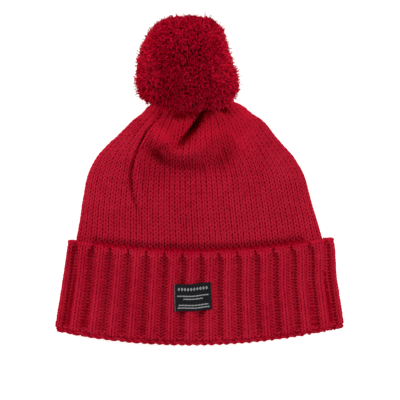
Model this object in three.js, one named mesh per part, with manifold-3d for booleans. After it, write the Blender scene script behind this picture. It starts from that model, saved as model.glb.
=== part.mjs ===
// A knitted bobble hat, lying on its back as it rests on a table: a jersey crown gathered at its
// tip, a ribbed cuff turned up once, a yarn pompom tied to the tip, and a small woven label.
// Millimetres. +Z is up and is the hat's front; the head opening faces -Y and the pompom is at +Y.
// The origin is on the table, under the middle of the hat's outline.
import * as THREE from "three";
import { mergeVertices } from "three/addons/utils/BufferGeometryUtils.js";
import Module from "manifold-3d";

// Driving dimensions of the body. Widths and lengths are those of the hat lying flat.
const BODY_WIDTH = 221; // across the inner band, where it turns up at the head opening
const BODY_LENGTH = 185; // from the corners of the head opening to the gathered tip
const CROWN_LOFT = 20; // how thick the empty crown lies, both walls included
const JERSEY_WALL = 3;
const SIDE_BEND = 5; // height of the side bends above the back wall's outer face
const OPENING_BOW = 12.2; // how far the head opening's middle lies beyond its corners
const BOW_HOLDS = 0.15; // the share of the body's length that bows as much as the opening does
const OPENING_LEAN = 1.4; // how far its right corner lies above the middle line, and its left below
const FLOOR_PRESS = 0.5; // how far the back is pressed flat by its own weight

// The cuff: one ribbed band, turned up at the head opening, so that it lies double.
const CUFF_HEIGHT = 68.5;
const BAND_WALL = 3.4; // its inner layer
const TURN_UP_WALL = 4.6; // its outer layer, up to the crests of the ribs
const RIB_DEPTH = 2.2;
const RIB_COUNT = 31;
const LAYER_GAP = 0.8;
const CUFF_FLARE = 2; // how far the free top edge stands off further than the rest
const CUFF_ASIDE = 1.4; // how far that edge hangs over to the right
const BAND_SHORTFALL = 7; // the band gives way to jersey this far below the cuff's top edge
const BACK_SETTLE = 20; // above the cuff, the back wall comes down to the table over this length
const FRONT_SETTLE = 45; // and the front wall comes down from the band's layers over this length

// The gathers at the tip.
const GATHER_COUNT = 11;
const GATHER_DEPTH = 1.8;
const GATHER_LENGTH = 32;
const TIP_HEIGHT = 11; // how far the pompom lifts the back wall off the table at the tip
const TIP_ROUND = 2;
const TIP_SOLID = 8; // length of the tip that the gathers fill

// The pompom: a cut-yarn ball of locks.
const POMPOM_RADIUS = 39.5;
const POMPOM_LOCKS = 60;
const LOCK_TIP_RADIUS = 5.2;
const LOCK_ROOT_RADIUS = 7.4;
const LOCK_LENGTH = 12;
const LOCK_SIDES = 4;
const LOCK_SHOWING = 0.34; // the share of a lock that stands clear of the ball
const POMPOM_BEYOND_TIP = 21.5; // from the crown's tip to the pompom's middle, along Y
const POMPOM_ASIDE = -8.8; // from the crown's tip to the pompom's middle, along X
const POMPOM_SINK = 1.5; // how far its weight flattens the locks that it stands on
const TIE_RADIUS = 2;
const TIE_DEPTH = 16; // how far the tie reaches into the pompom

// The label, sewn flat on the ribs.
const LABEL_WIDTH = 30;
const LABEL_HEIGHT = 21;
const LABEL_THICKNESS = 0.9;
const LABEL_ASIDE = -5.4; // of its middle, from the middle of the cuff
const LABEL_GAP = 0.45; // between it and the crests
const LABEL_RISE = 20.9; // of its middle, above the line through the opening's corners
const LABEL_TILT = 3.5; // degrees by which it is turned, its right end raised

// Sewn pieces keep this far apart, so that they never overlap.
const PIECE_GAP = 0.3;
const NEST_GAP = 0.8; // between the jersey and the pompom that it nests in
const JOIN_GAP = 0.6; // between the edges of the jersey and the rib

// How finely the curved forms are divided.
const CROWN_FRONT_COLUMNS = 44;
const CROWN_BACK_COLUMNS = 14;
const CROWN_ROWS = 15;
const CROWN_ROW_CROWDING = 0.72; // under 1 draws the rows together towards the tip
const LOOP_STEPS = 360;
const FOLD_STEPS = 10;

// Sections of the body's outer face. Each length is a share, chosen by hand: up, of the body's
// length; half and centre, of half the body's width; loft, of the crown's loft.
const SECTIONS = [
  { up: 0.0, half: 1.0, centre: 0.009, loft: 0.9 },
  { up: 0.28, half: 0.923, centre: 0.01, loft: 0.91 },
  { up: 0.42, half: 0.872, centre: 0.002, loft: 0.86 },
  { up: 0.535, half: 0.829, centre: -0.011, loft: 1.16 },
  { up: 0.64, half: 0.789, centre: -0.018, loft: 1.24 },
  { up: 0.72, half: 0.719, centre: -0.024, loft: 1.25 },
  { up: 0.77, half: 0.645, centre: -0.024, loft: 1.23 },
  { up: 0.822, half: 0.562, centre: -0.015, loft: 1.2 },
  { up: 0.874, half: 0.486, centre: -0.006, loft: 1.1 },
  { up: 0.917, half: 0.39, centre: -0.011, loft: 0.98 },
  { up: 0.943, half: 0.345, centre: -0.018, loft: 0.84 },
  { up: 0.97, half: 0.245, centre: -0.014, loft: 0.62 },
  { up: 1.0, half: 0.075, centre: -0.01, loft: 0.3 },
];
const FRONT_FULLNESS = 2.5; // exponents of the section's curve: 2 is an ellipse, more is boxier
const BACK_FULLNESS = 4.5;

// Folds of the crown's front, each along a curve through three points. Places are shares: x, of
// half the body's width, and up, of its length. width is a share of half the body's width. rise is
// a share of the crown's loft at the three points, below zero for a valley.
const FOLDS = [
  { name: "deep fold", width: 0.036, rise: [-0.12, -0.46, -0.4],
    x: [-0.165, -0.08, 0.0], up: [0.776, 0.851, 0.95] },
  { name: "lip left of it", width: 0.06, rise: [0.1, 0.2, 0.08],
    x: [-0.03, -0.12, -0.25], up: [0.93, 0.885, 0.8] },
  { name: "lip right of it", width: 0.075, rise: [0.12, 0.18, 0.1],
    x: [0.15, 0.06, -0.04], up: [0.93, 0.855, 0.79] },
  { name: "roll across", width: 0.085, rise: [0.12, 0.18, 0.12],
    x: [-0.313, -0.089, 0.244], up: [0.863, 0.752, 0.876] },
  { name: "dent below it", width: 0.1, rise: [-0.28, -0.26, -0.26],
    x: [-0.3, -0.07, 0.2], up: [0.764, 0.688, 0.778] },
  { name: "pleat's ridge", width: 0.045, rise: [0.1, 0.24, 0.04],
    x: [-0.313, -0.443, -0.371], up: [0.884, 0.717, 0.486] },
  { name: "pleat's valley", width: 0.034, rise: [-0.2, -0.3, -0.02],
    x: [-0.262, -0.457, -0.435], up: [0.909, 0.717, 0.523] },
];

// The pompom's lumps and hollows as seen from above: angle in degrees from +X, size as a share of
// its radius, and the angle in degrees over which it spreads.
const LUMPS = [
  { angle: -36, size: 0.27, spread: 24 },
  { angle: 14, size: -0.085, spread: 20 },
  { angle: 54, size: 0.085, spread: 20 },
  { angle: 88, size: -0.035, spread: 20 },
  { angle: 125, size: 0.025, spread: 20 },
  { angle: 152, size: -0.02, spread: 14 },
  { angle: -142, size: 0.19, spread: 24 },
];

// Where along one rib the outline turns, as shares of its pitch from the middle of a valley.
const RIB_CORNERS = [
  { at: -0.13, crest: 0 },
  { at: 0.13, crest: 0 },
  { at: 0.27, crest: 1 },
  { at: 0.73, crest: 1 },
];

const FULL_TURN = 2 * Math.PI;
const GOLDEN_ANGLE = Math.PI * (3 - Math.sqrt(5));

// Sizes that follow from the ones above.
const halfWidth = BODY_WIDTH / 2;
const cuffStack = LAYER_GAP + TURN_UP_WALL; // how far the turn-up stands out from the inner band
const cuffTop = CUFF_HEIGHT / BODY_LENGTH; // as shares of the body's length
const bandTop = (CUFF_HEIGHT - BAND_SHORTFALL) / BODY_LENGTH;

const smoothStep = (from, to, x) => THREE.MathUtils.smoothstep(x, from, to);

// One column of the section table at a height, on a smooth curve through its rows.
function tableValue(column, up) {
  const last = SECTIONS.length - 1;
  let i = 0;
  while (i < last - 1 && SECTIONS[i + 1].up < up) i++;
  const slope = (k) => {
    const low = SECTIONS[Math.max(k - 1, 0)];
    const high = SECTIONS[Math.min(k + 1, last)];
    return (high[column] - low[column]) / (high.up - low.up);
  };
  const span = SECTIONS[i + 1].up - SECTIONS[i].up;
  const t = (up - SECTIONS[i].up) / span;
  const [a, b] = [SECTIONS[i][column], SECTIONS[i + 1][column]];
  const bend = t * t * (3 - 2 * t);
  return a + (b - a) * bend + span * t * (1 - t) * ((1 - t) * slope(i) - t * slope(i + 1));
}

// The body's section at a height: its half width and centre, the heights of its front, back and
// side bends, and how much a wall there widens because the side slants.
function sectionShape(up) {
  const held = Math.min(Math.max(up, 0), 1);
  const height = up * BODY_LENGTH;
  const lift = 1 - smoothStep(CUFF_HEIGHT + 2, CUFF_HEIGHT + BACK_SETTLE, height);
  const frontLift = 1 - smoothStep(CUFF_HEIGHT + 2, CUFF_HEIGHT + FRONT_SETTLE, height);
  const tipLift = smoothStep(0.84, 1, held);
  const pressed = FLOOR_PRESS * (1 - lift) * (1 - tipLift);
  const back = lift * cuffStack + tipLift * TIP_HEIGHT - pressed;
  const loft = tableValue("loft", held) * CROWN_LOFT;
  const front = frontLift * cuffStack + tipLift * TIP_HEIGHT + loft;
  const step = 0.01;
  const [below, above] = [Math.max(held - step, 0), Math.min(held + step, 1)];
  const narrowing = (tableValue("half", below) - tableValue("half", above)) * halfWidth;
  const taper = narrowing / (2 * step * BODY_LENGTH);
  return {
    half: tableValue("half", held) * halfWidth,
    centre: tableValue("centre", held) * halfWidth,
    back,
    front,
    side: Math.min(back + SIDE_BEND, (front + back) / 2),
    slant: Math.min(Math.hypot(1, taper), 2),
  };
}

// The closed outline of a section, offset outward, in X and Z. It starts at the middle of the back
// and goes round by the right side. Each point is kept above the table by the cloth below it.
function sectionOutline(up, outward, rest) {
  const shape = sectionShape(up);
  const half = shape.half + outward * shape.slant;
  const points = [];
  for (let i = 0; i < LOOP_STEPS; i++) {
    const angle = (FULL_TURN * i) / LOOP_STEPS - Math.PI / 2;
    const [c, s] = [Math.cos(angle), Math.sin(angle)];
    const rise = (s > 0 ? shape.front - shape.side : shape.side - shape.back) + outward;
    const power = 2 / (s > 0 ? FRONT_FULLNESS : BACK_FULLNESS);
    const x = shape.centre + Math.sign(c) * half * Math.abs(c) ** power;
    const z = shape.side + Math.sign(s) * rise * Math.abs(s) ** power;
    points.push(new THREE.Vector2(x, Math.max(z, rest)));
  }
  return points;
}

// A closed outline's length, and a function of the share of the way round it that gives the point
// there and the direction that points away from the cloth.
function byShare(points) {
  const along = [0];
  points.forEach((p, i) => along.push(along[i] + p.distanceTo(points[(i + 1) % points.length])));
  const length = along[points.length];
  const at = (share) => {
    const wanted = (share - Math.floor(share)) * length;
    let [low, high] = [0, points.length];
    while (high - low > 1) {
      const middle = (low + high) >> 1;
      if (along[middle] <= wanted) low = middle;
      else high = middle;
    }
    const [from, to] = [points[low], points[(low + 1) % points.length]];
    const t = (wanted - along[low]) / (along[low + 1] - along[low]);
    const way = to.clone().sub(from).normalize();
    return { point: from.clone().lerp(to, t), out: new THREE.Vector2(way.y, -way.x) };
  };
  return { length, at };
}

// How far a point of the crown's front is raised by the folds. x and up are shares.
const foldCurves = FOLDS.map((fold) => {
  const through = (values, t) => {
    const bend = 2 * values[1] - (values[0] + values[2]) / 2;
    return (1 - t) ** 2 * values[0] + 2 * t * (1 - t) * bend + t * t * values[2];
  };
  return Array.from({ length: FOLD_STEPS + 1 }, (_, i) => ({
    x: through(fold.x, i / FOLD_STEPS) * halfWidth,
    y: through(fold.up, i / FOLD_STEPS) * BODY_LENGTH,
    rise: through(fold.rise, i / FOLD_STEPS) * CROWN_LOFT,
    width: fold.width * halfWidth,
  }));
});

function foldRise(x, y) {
  let total = 0;
  for (const curve of foldCurves) {
    let [nearest, rise] = [Infinity, 0];
    for (let i = 0; i < FOLD_STEPS; i++) {
      const [a, b] = [curve[i], curve[i + 1]];
      const [dx, dy] = [b.x - a.x, b.y - a.y];
      const t = THREE.MathUtils.clamp(((x - a.x) * dx + (y - a.y) * dy) / (dx * dx + dy * dy), 0, 1);
      const away = Math.hypot(x - a.x - t * dx, y - a.y - t * dy);
      if (away < nearest) [nearest, rise] = [away, a.rise + t * (b.rise - a.rise)];
    }
    total += rise * Math.exp(-((nearest / curve[0].width) ** 2));
  }
  return total;
}

// Places one ring of points round the body. around is a list of shares of the way round, outward
// the offset from the body's outer face, relief a function of the share, drop how far the ring lies
// beyond the opening's corners, and aside how far it hangs over to the right.
function bodyRing({ around, up, outward, rest, relief = () => 0, drop = 0, aside = 0 }) {
  const shape = sectionShape(up);
  const half = shape.half + outward * shape.slant;
  const { at } = byShare(sectionOutline(up, outward, rest));
  const bow = OPENING_BOW * (1 - smoothStep(BOW_HOLDS, 1, up));
  const lean = OPENING_LEAN * (1 - smoothStep(0, 1, up));
  const height = up * BODY_LENGTH;
  return around.map((share) => {
    const { point, out } = at(share);
    const x = point.x + out.x * relief(share);
    const z = point.y + out.y * relief(share);
    const across = THREE.MathUtils.clamp((x - shape.centre) / half, -1, 1);
    const isFront = smoothStep(0.15, 0.75, out.y);
    const raised = isFront > 0 && up > cuffTop ? isFront * foldRise(x, height) : 0;
    const y = height - drop - bow * (1 - across * across) + lean * across;
    return new THREE.Vector3(x + aside, y, Math.max(z + raised, rest));
  });
}

// Solids, for joining the pompom's locks and cutting its seat.
const wasm = await Module();
wasm.setup();

function solidOf(geometry) {
  const bare = geometry.clone();
  bare.deleteAttribute("normal");
  bare.deleteAttribute("uv");
  const merged = mergeVertices(bare, 1e-4);
  const vertProperties = new Float32Array(merged.attributes.position.array);
  const triVerts = new Uint32Array(merged.index.array);
  return new wasm.Manifold(new wasm.Mesh({ numProp: 3, vertProperties, triVerts }));
}

function geometryOf(solid) {
  const { vertProperties, triVerts } = solid.getMesh();
  const geometry = new THREE.BufferGeometry();
  geometry.setAttribute("position", new THREE.BufferAttribute(new Float32Array(vertProperties), 3));
  geometry.setIndex(new THREE.BufferAttribute(new Uint32Array(triVerts), 1));
  return geometry;
}

// A closed mesh from rings of equally many points, each joined to the next. first and last are
// poles that close the ends; without them the last ring is joined to the first.
function skin(rings, first, last) {
  const count = rings[0].length;
  const points = rings.flat();
  const faces = [];
  const joined = first ? rings.length - 1 : rings.length;
  for (let i = 0; i < joined; i++) {
    const next = (i + 1) % rings.length;
    for (let k = 0; k < count; k++) {
      const beside = (k + 1) % count;
      const [a, b] = [i * count + k, i * count + beside];
      const [c, d] = [next * count + k, next * count + beside];
      faces.push(a, d, b, a, c, d);
    }
  }
  if (first) {
    const [start, end] = [points.push(first) - 1, points.push(last) - 1];
    const final = (rings.length - 1) * count;
    for (let k = 0; k < count; k++) {
      const beside = (k + 1) % count;
      faces.push(start, k, beside);
      faces.push(end, final + beside, final + k);
    }
  }
  const geometry = new THREE.BufferGeometry().setFromPoints(points);
  geometry.setIndex(faces);
  return geometry;
}

const middleOf = (ring) =>
  ring.reduce((sum, p) => sum.add(p), new THREE.Vector3()).divideScalar(ring.length);

// The crown's columns, closer together on the front, and its rows, closer together at the tip.
const columnsOver = (count, from, to) =>
  Array.from({ length: count }, (_, i) => from + ((to - from) * i) / count);
const crownColumns = [
  ...columnsOver(CROWN_FRONT_COLUMNS, 0.22, 0.78),
  ...columnsOver(CROWN_BACK_COLUMNS, 0.78, 1.22),
];
const jerseyStart = bandTop + JOIN_GAP / BODY_LENGTH;
const crownRows = Array.from(
  { length: CROWN_ROWS + 1 },
  (_, i) => jerseyStart + (1 - jerseyStart) * (i / CROWN_ROWS) ** CROWN_ROW_CROWDING,
);

// How far the gathers draw the crown's outside in.
function gatherRelief(up) {
  const near = smoothStep(1 - GATHER_LENGTH / BODY_LENGTH, 1, up);
  return (share) => -GATHER_DEPTH * near * (0.5 + 0.5 * Math.cos(FULL_TURN * GATHER_COUNT * share));
}

function tipOf(rings, beyond) {
  return middleOf(rings[rings.length - 1]).add(new THREE.Vector3(0, beyond, 0));
}

const jerseyFace = crownRows.map((up) =>
  bodyRing({ around: crownColumns, up, outward: 0, rest: 0, relief: gatherRelief(up) }),
);
const tip = tipOf(jerseyFace, TIP_ROUND);

function crownGeometry() {
  const hollowRows = crownRows.filter((up) => up < 1 - TIP_SOLID / BODY_LENGTH);
  const inner = hollowRows.map((up) =>
    bodyRing({ around: crownColumns, up, outward: -JERSEY_WALL, rest: JERSEY_WALL }),
  );
  return skin(inner.reverse().concat(jerseyFace), tipOf(inner.slice(0, 1), 0.5), tip);
}

// A filled copy of the crown's outside, larger by the gap all round, to nest the pompom on.
function crownBlock() {
  const rings = jerseyFace.map((ring) => {
    const box = new THREE.Box3().setFromPoints(ring);
    const centre = box.getCenter(new THREE.Vector3());
    const grown = box.getSize(new THREE.Vector3()).addScalar(2 * NEST_GAP);
    const scale = grown.divide(box.getSize(new THREE.Vector3())).setY(1);
    return ring.map((point) => point.clone().sub(centre).multiply(scale).add(centre));
  });
  const block = solidOf(skin(rings, middleOf(rings[0]), tipOf(rings, TIP_ROUND)));
  const ways = [[1, 0, 0], [-1, 0, 0], [0, 1, 0], [0, -1, 0], [0, 0, 1]];
  const moved = ways.map((way) => block.translate(way.map((share) => share * NEST_GAP)));
  return moved.reduce((all, copy) => all.add(copy), block);
}

// What the crown leaves of a solid that it is nested in, without the crumbs cut loose.
function nested(solid) {
  const bodies = solid.subtract(crownBlock()).decompose();
  return geometryOf(bodies.reduce((a, b) => (a.volume() > b.volume() ? a : b)));
}

// The share of its flare that the turn-up has at a height.
const flareAt = (up) => smoothStep(cuffTop * 0.5, cuffTop, up);

// The cuff: its double band as one closed profile, carried round the head opening.
function cuffGeometry() {
  const ribs = Array.from({ length: RIB_COUNT }, (_, i) => i);
  const columns = ribs.flatMap((rib) =>
    RIB_CORNERS.map(({ at, crest }) => ({ share: (0.5 + (rib + at) / RIB_COUNT) % 1, crest })),
  );
  columns.sort((a, b) => a.share - b.share);
  const around = columns.map((column) => column.share);
  const crestAt = new Map(columns.map((column) => [column.share, column.crest]));
  const outer = LAYER_GAP + TURN_UP_WALL;
  const thickness = BAND_WALL + outer;
  const fold = (turn) => ({
    up: 0,
    outward: outer - (thickness * (1 - Math.cos(turn))) / 2,
    drop: (thickness / 2) * Math.sin(turn),
    ribs: 0.3 + 0.5 * Math.abs(Math.cos(turn)),
  });
  // up is a share of the body's length, and ribs says how deep the ribs are there.
  const profile = [
    { up: bandTop, outward: -BAND_WALL, ribs: 0 },
    { up: bandTop * 0.4, outward: -BAND_WALL, ribs: 0 },
    { ...fold(0.7 * Math.PI), ribs: 0.15 },
    fold(0.5 * Math.PI),
    fold(0.28 * Math.PI),
    { up: 0.02, outward: outer, ribs: 1 },
    { up: cuffTop * 0.3, outward: outer, ribs: 1 },
    { up: cuffTop * 0.55, outward: outer, ribs: 1 },
    { up: cuffTop * 0.75, outward: outer, ribs: 1 },
    { up: cuffTop * 0.94, outward: outer, ribs: 1 },
    { up: cuffTop, outward: outer - 0.2 * TURN_UP_WALL, ribs: 0.2 },
    { up: cuffTop, outward: outer - 0.8 * TURN_UP_WALL, ribs: 0 },
    { up: cuffTop * 0.5, outward: LAYER_GAP, ribs: 0 },
    { up: 0.012, outward: LAYER_GAP, ribs: 0 },
    { up: 0.012, outward: 0, ribs: 0 },
    { up: bandTop, outward: 0, ribs: 0 },
  ];
  const rings = profile.map(({ up, outward, drop = 0, ribs: depth }) => {
    const flare = outward > 0 ? flareAt(up) : 0;
    return bodyRing({
      around,
      up,
      drop,
      aside: flare * CUFF_ASIDE,
      outward: outward + flare * CUFF_FLARE,
      rest: Math.max(outer - outward, 0),
      relief: (share) => -RIB_DEPTH * depth * (1 - crestAt.get(share)),
    });
  });
  return skin(rings);
}

// The label follows the crests of the ribs.
function labelGeometry() {
  const [columns, rows] = [10, 4];
  const turn = THREE.MathUtils.degToRad(LABEL_TILT);
  const corner = (x, rise, standoff) => {
    const aside = LABEL_ASIDE + x * Math.cos(turn) - rise * Math.sin(turn);
    const height = LABEL_RISE + OPENING_BOW + x * Math.sin(turn) + rise * Math.cos(turn);
    const up = height / BODY_LENGTH;
    const outward = cuffStack + flareAt(up) * CUFF_FLARE + standoff;
    const { length } = byShare(sectionOutline(up, outward, 0));
    return bodyRing({ around: [0.5 - aside / length], up, outward, rest: 0 })[0];
  };
  const across = [...columnsOver(columns, -LABEL_WIDTH / 2, LABEL_WIDTH / 2), LABEL_WIDTH / 2];
  const rings = Array.from({ length: rows + 1 }, (_, row) => {
    const rise = LABEL_HEIGHT * (row / rows - 0.5);
    const under = across.map((x) => corner(x, rise, LABEL_GAP));
    const over = [...across].reverse().map((x) => corner(x, rise, LABEL_GAP + LABEL_THICKNESS));
    return under.concat(over);
  });
  return skin(rings, middleOf(rings[0]), middleOf(rings[rows]));
}

// The pompom's middle. It is tied to the crown's tip and stands on the table.
const pompomMiddle = new THREE.Vector3(
  tip.x + POMPOM_ASIDE,
  tip.y + POMPOM_BEYOND_TIP,
  POMPOM_RADIUS - POMPOM_SINK,
);

// The pompom's radius in a direction, with its lumps and hollows.
function pompomRadius(direction) {
  let radius = 1;
  for (const { angle, size, spread } of LUMPS) {
    const turn = THREE.MathUtils.degToRad(angle);
    const lump = new THREE.Vector3(Math.cos(turn), Math.sin(turn), 0);
    const away = THREE.MathUtils.radToDeg(lump.angleTo(direction));
    radius += size * Math.exp(-((away / spread) ** 2));
  }
  return radius * POMPOM_RADIUS;
}

// Directions spread evenly over a ball, on a spiral.
const spiral = (i, count) => {
  const z = 1 - (2 * i + 1) / count;
  const flat = Math.sqrt(1 - z * z);
  return new THREE.Vector3(flat * Math.cos(i * GOLDEN_ANGLE), flat * Math.sin(i * GOLDEN_ANGLE), z);
};

// Moves a geometry's points by a function.
function reshape(geometry, move) {
  const position = geometry.attributes.position;
  const point = new THREE.Vector3();
  for (let i = 0; i < position.count; i++) {
    move(point.fromBufferAttribute(position, i));
    position.setXYZ(i, point.x, point.y, point.z);
  }
  return geometry;
}

const overTable = (point) => point.setZ(Math.max(point.z, 0));

function pompomHead() {
  const ball = new THREE.IcosahedronGeometry(1, 3);
  return reshape(ball, (point) => {
    const direction = point.clone().normalize();
    const radius = pompomRadius(direction) - LOCK_SHOWING * LOCK_LENGTH;
    overTable(point.copy(pompomMiddle).addScaledVector(direction, radius));
  });
}

function lockGeometry(direction) {
  const lock = new THREE.CylinderGeometry(LOCK_TIP_RADIUS, LOCK_ROOT_RADIUS, LOCK_LENGTH, LOCK_SIDES);
  lock.applyQuaternion(new THREE.Quaternion().setFromUnitVectors(new THREE.Vector3(0, 1, 0), direction));
  const halfway = pompomRadius(direction) - LOCK_LENGTH / 2;
  const middle = pompomMiddle.clone().addScaledVector(direction, halfway);
  lock.translate(middle.x, middle.y, middle.z);
  return reshape(lock, overTable);
}

const tieWay = pompomMiddle.clone().sub(tip).normalize();

function tieRod(from, to, radius) {
  const tie = new THREE.CylinderGeometry(radius, radius, to - from, 12);
  tie.applyQuaternion(new THREE.Quaternion().setFromUnitVectors(new THREE.Vector3(0, 1, 0), tieWay));
  const middle = tip.clone().addScaledVector(tieWay, (from + to) / 2);
  return tie.translate(middle.x, middle.y, middle.z);
}

function pompomGeometry() {
  let solid = solidOf(pompomHead());
  for (let i = 0; i < POMPOM_LOCKS; i++) {
    solid = solid.add(solidOf(lockGeometry(spiral(i, POMPOM_LOCKS))));
  }
  const socket = tieRod(-TIE_DEPTH, TIE_DEPTH + PIECE_GAP, TIE_RADIUS + PIECE_GAP);
  return nested(solid.subtract(solidOf(socket)));
}

function tieGeometry() {
  return nested(solidOf(tieRod(0, TIE_DEPTH, TIE_RADIUS)));
}

// Materials
const redJersey = new THREE.MeshStandardMaterial({ color: 0x9c0c21, roughness: 0.95, metalness: 0 });
const redRib = new THREE.MeshStandardMaterial({ color: 0x930d20, roughness: 0.95, metalness: 0 });
const redPile = new THREE.MeshStandardMaterial({ color: 0x8a0b1e, roughness: 1, metalness: 0 });
const blackWeave = new THREE.MeshStandardMaterial({ color: 0x1c1e24, roughness: 0.8, metalness: 0 });

const hat = new THREE.Group();
function addPiece(name, geometry, material) {
  const piece = new THREE.Mesh(geometry, material);
  piece.name = name;
  hat.add(piece);
}

addPiece("crown", crownGeometry(), redJersey);
addPiece("cuff", cuffGeometry(), redRib);
addPiece("pompom", pompomGeometry(), redPile);
addPiece("pompom_tie", tieGeometry(), redPile);
addPiece("label", labelGeometry(), blackWeave);

// The origin goes under the middle of the outline.
const outline = new THREE.Box3().setFromObject(hat);
const middle = outline.getCenter(new THREE.Vector3());
hat.position.set(-middle.x, -middle.y, 0);

export default hat;
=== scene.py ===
"""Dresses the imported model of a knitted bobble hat, which lies on its back on a pale floor.

The hat's faces are worked out from its own sizes, the yarn is laid along them stitch by stitch, and
the pompom is made of cut yarn ends. Sizes are millimetres in the hat's own frame: x to the right, y
from the head opening towards the tip, and height above the floor. Finished meshes are in metres.
"""
import logging
import math
from dataclasses import dataclass
from enum import Enum

import bmesh
import bpy
import numpy as np
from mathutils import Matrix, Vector
from mathutils.bvhtree import BVHTree


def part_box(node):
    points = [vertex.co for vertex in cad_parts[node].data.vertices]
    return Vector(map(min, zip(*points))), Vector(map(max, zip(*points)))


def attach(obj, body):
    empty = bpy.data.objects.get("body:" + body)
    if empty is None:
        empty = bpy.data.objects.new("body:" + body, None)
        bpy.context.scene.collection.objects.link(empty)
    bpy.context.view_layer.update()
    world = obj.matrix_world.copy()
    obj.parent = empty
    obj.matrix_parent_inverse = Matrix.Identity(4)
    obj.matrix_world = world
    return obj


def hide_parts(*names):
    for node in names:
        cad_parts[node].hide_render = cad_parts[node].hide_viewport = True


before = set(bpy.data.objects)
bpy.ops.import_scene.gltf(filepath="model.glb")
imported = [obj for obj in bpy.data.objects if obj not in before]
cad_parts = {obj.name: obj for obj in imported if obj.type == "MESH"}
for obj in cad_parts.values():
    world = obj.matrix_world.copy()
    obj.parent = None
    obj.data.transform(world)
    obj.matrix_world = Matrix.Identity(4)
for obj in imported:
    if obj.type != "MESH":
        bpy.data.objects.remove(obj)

MM = 0.001
FULL_TURN = 2 * math.pi
LOG = logging.getLogger("bobble_hat")
Pair = tuple[float, float]
Triple = tuple[float, float, float]
Colour = Triple
SocketPair = tuple[object, object]

# How low a shell of cloth may lie, in metres above the floor.
LOWEST_CLOTH = 0.0004

# The noises that mottle wool: scale per metre, detail and weight, from patches to fibres.
WOOL_NOISES = ((28.0, 1.0, 0.3), (240.0, 2.0, 0.3), (900.0, 1.0, 0.2), (2600.0, 3.0, 0.2))
WOOL_NOISE_SWING = 4.0


def smooth_step(start: float, end: float, value: np.ndarray) -> np.ndarray:
    """Rises smoothly from 0 to 1 while the value goes from start to end."""
    share = np.clip((np.asarray(value, float) - start) / (end - start), 0, 1)
    return share * share * (3 - 2 * share)


def unit(vectors: np.ndarray) -> np.ndarray:
    """Gives vectors, which lie along the last axis, a length of one."""
    return vectors / np.maximum(np.linalg.norm(vectors, axis=-1, keepdims=True), 1e-12)


def column_of(value: np.ndarray | float, rows: int) -> np.ndarray:
    """Spreads one value, or one for each row, over a column."""
    return np.broadcast_to(np.asarray(value, float), (rows,))[:, None]


# The hat's form


@dataclass(frozen=True)
class Section:
    """One section of the body: its height, half width, middle across the hat and front loft.

    up is a share of the body's length, half and centre of half its width, and loft of the
    crown's loft.
    """

    up: float
    half: float
    centre: float
    loft: float


@dataclass(frozen=True)
class Fold:
    """A fold of the crown's front along a curve through three points, below zero for a valley.

    x and width are shares of half the body's width, up of its length, and rise of the crown's
    loft. Its left side, as one goes along the curve, may be tighter than its right, by the share
    tight, and the cloth there may lap over it, by lap in millimetres.
    """

    x: Triple
    up: Triple
    width: float
    rise: Triple
    tight: float = 1.0
    lap: float = 0.0

    def curve(self, steps: np.ndarray, sizes: Triple) -> list[np.ndarray]:
        """Follows the fold.

        Args:
            steps: Places along it, from 0 to 1.
            sizes: The sizes in millimetres that x, up and rise are shares of.

        Returns:
            Its x, y and rise at each step, in millimetres.
        """
        curve = []
        for values, size in zip((self.x, self.up, self.rise), sizes):
            bend = 2 * values[1] - (values[0] + values[2]) / 2
            start, end = (1 - steps) ** 2 * values[0], steps**2 * values[2]
            curve.append((start + 2 * steps * (1 - steps) * bend + end) * size)
        return curve


def nearest_on(curve: list[np.ndarray], x: np.ndarray, y: np.ndarray) -> tuple[np.ndarray, ...]:
    """Looks for the point of a fold's curve that is nearest to some places.

    Args:
        curve: The fold's x, y and rise at each step.
        x: The places across the hat.
        y: The places along it.

    Returns:
        How far the curve is, its rise there, how far left of it the place lies, and the x and y
        of the direction to its left.
    """
    nearest, rise = np.full(x.shape, np.inf), np.zeros_like(x)
    left, left_x, left_y = np.zeros_like(x), np.zeros_like(x), np.zeros_like(x)
    for k in range(len(curve[0]) - 1):
        from_x, from_y, from_rise = (values[k] for values in curve)
        way_x, way_y, way_rise = (values[k + 1] - values[k] for values in curve)
        pace = math.hypot(way_x, way_y)
        along = (x - from_x) * way_x + (y - from_y) * way_y
        t = np.clip(along / pace**2, 0, 1)
        away = np.hypot(x - from_x - t * way_x, y - from_y - t * way_y)
        beside = ((y - from_y) * way_x - (x - from_x) * way_y) / pace
        closer = away < nearest
        nearest = np.where(closer, away, nearest)
        rise = np.where(closer, from_rise + t * way_rise, rise)
        left = np.where(closer, beside, left)
        left_x = np.where(closer, -way_y / pace, left_x)
        left_y = np.where(closer, way_x / pace, left_y)
    return nearest, rise, left, left_x, left_y


@dataclass(frozen=True)
class Lump:
    """A lump of the pompom, or a hollow, in a direction seen from above, in degrees."""

    angle: float
    size: float
    spread: float


@dataclass
class SectionShape:
    """The measured sections at several heights, each an array in millimetres."""

    half: np.ndarray
    centre: np.ndarray
    back: np.ndarray
    front: np.ndarray
    side: np.ndarray
    slant: np.ndarray


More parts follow.
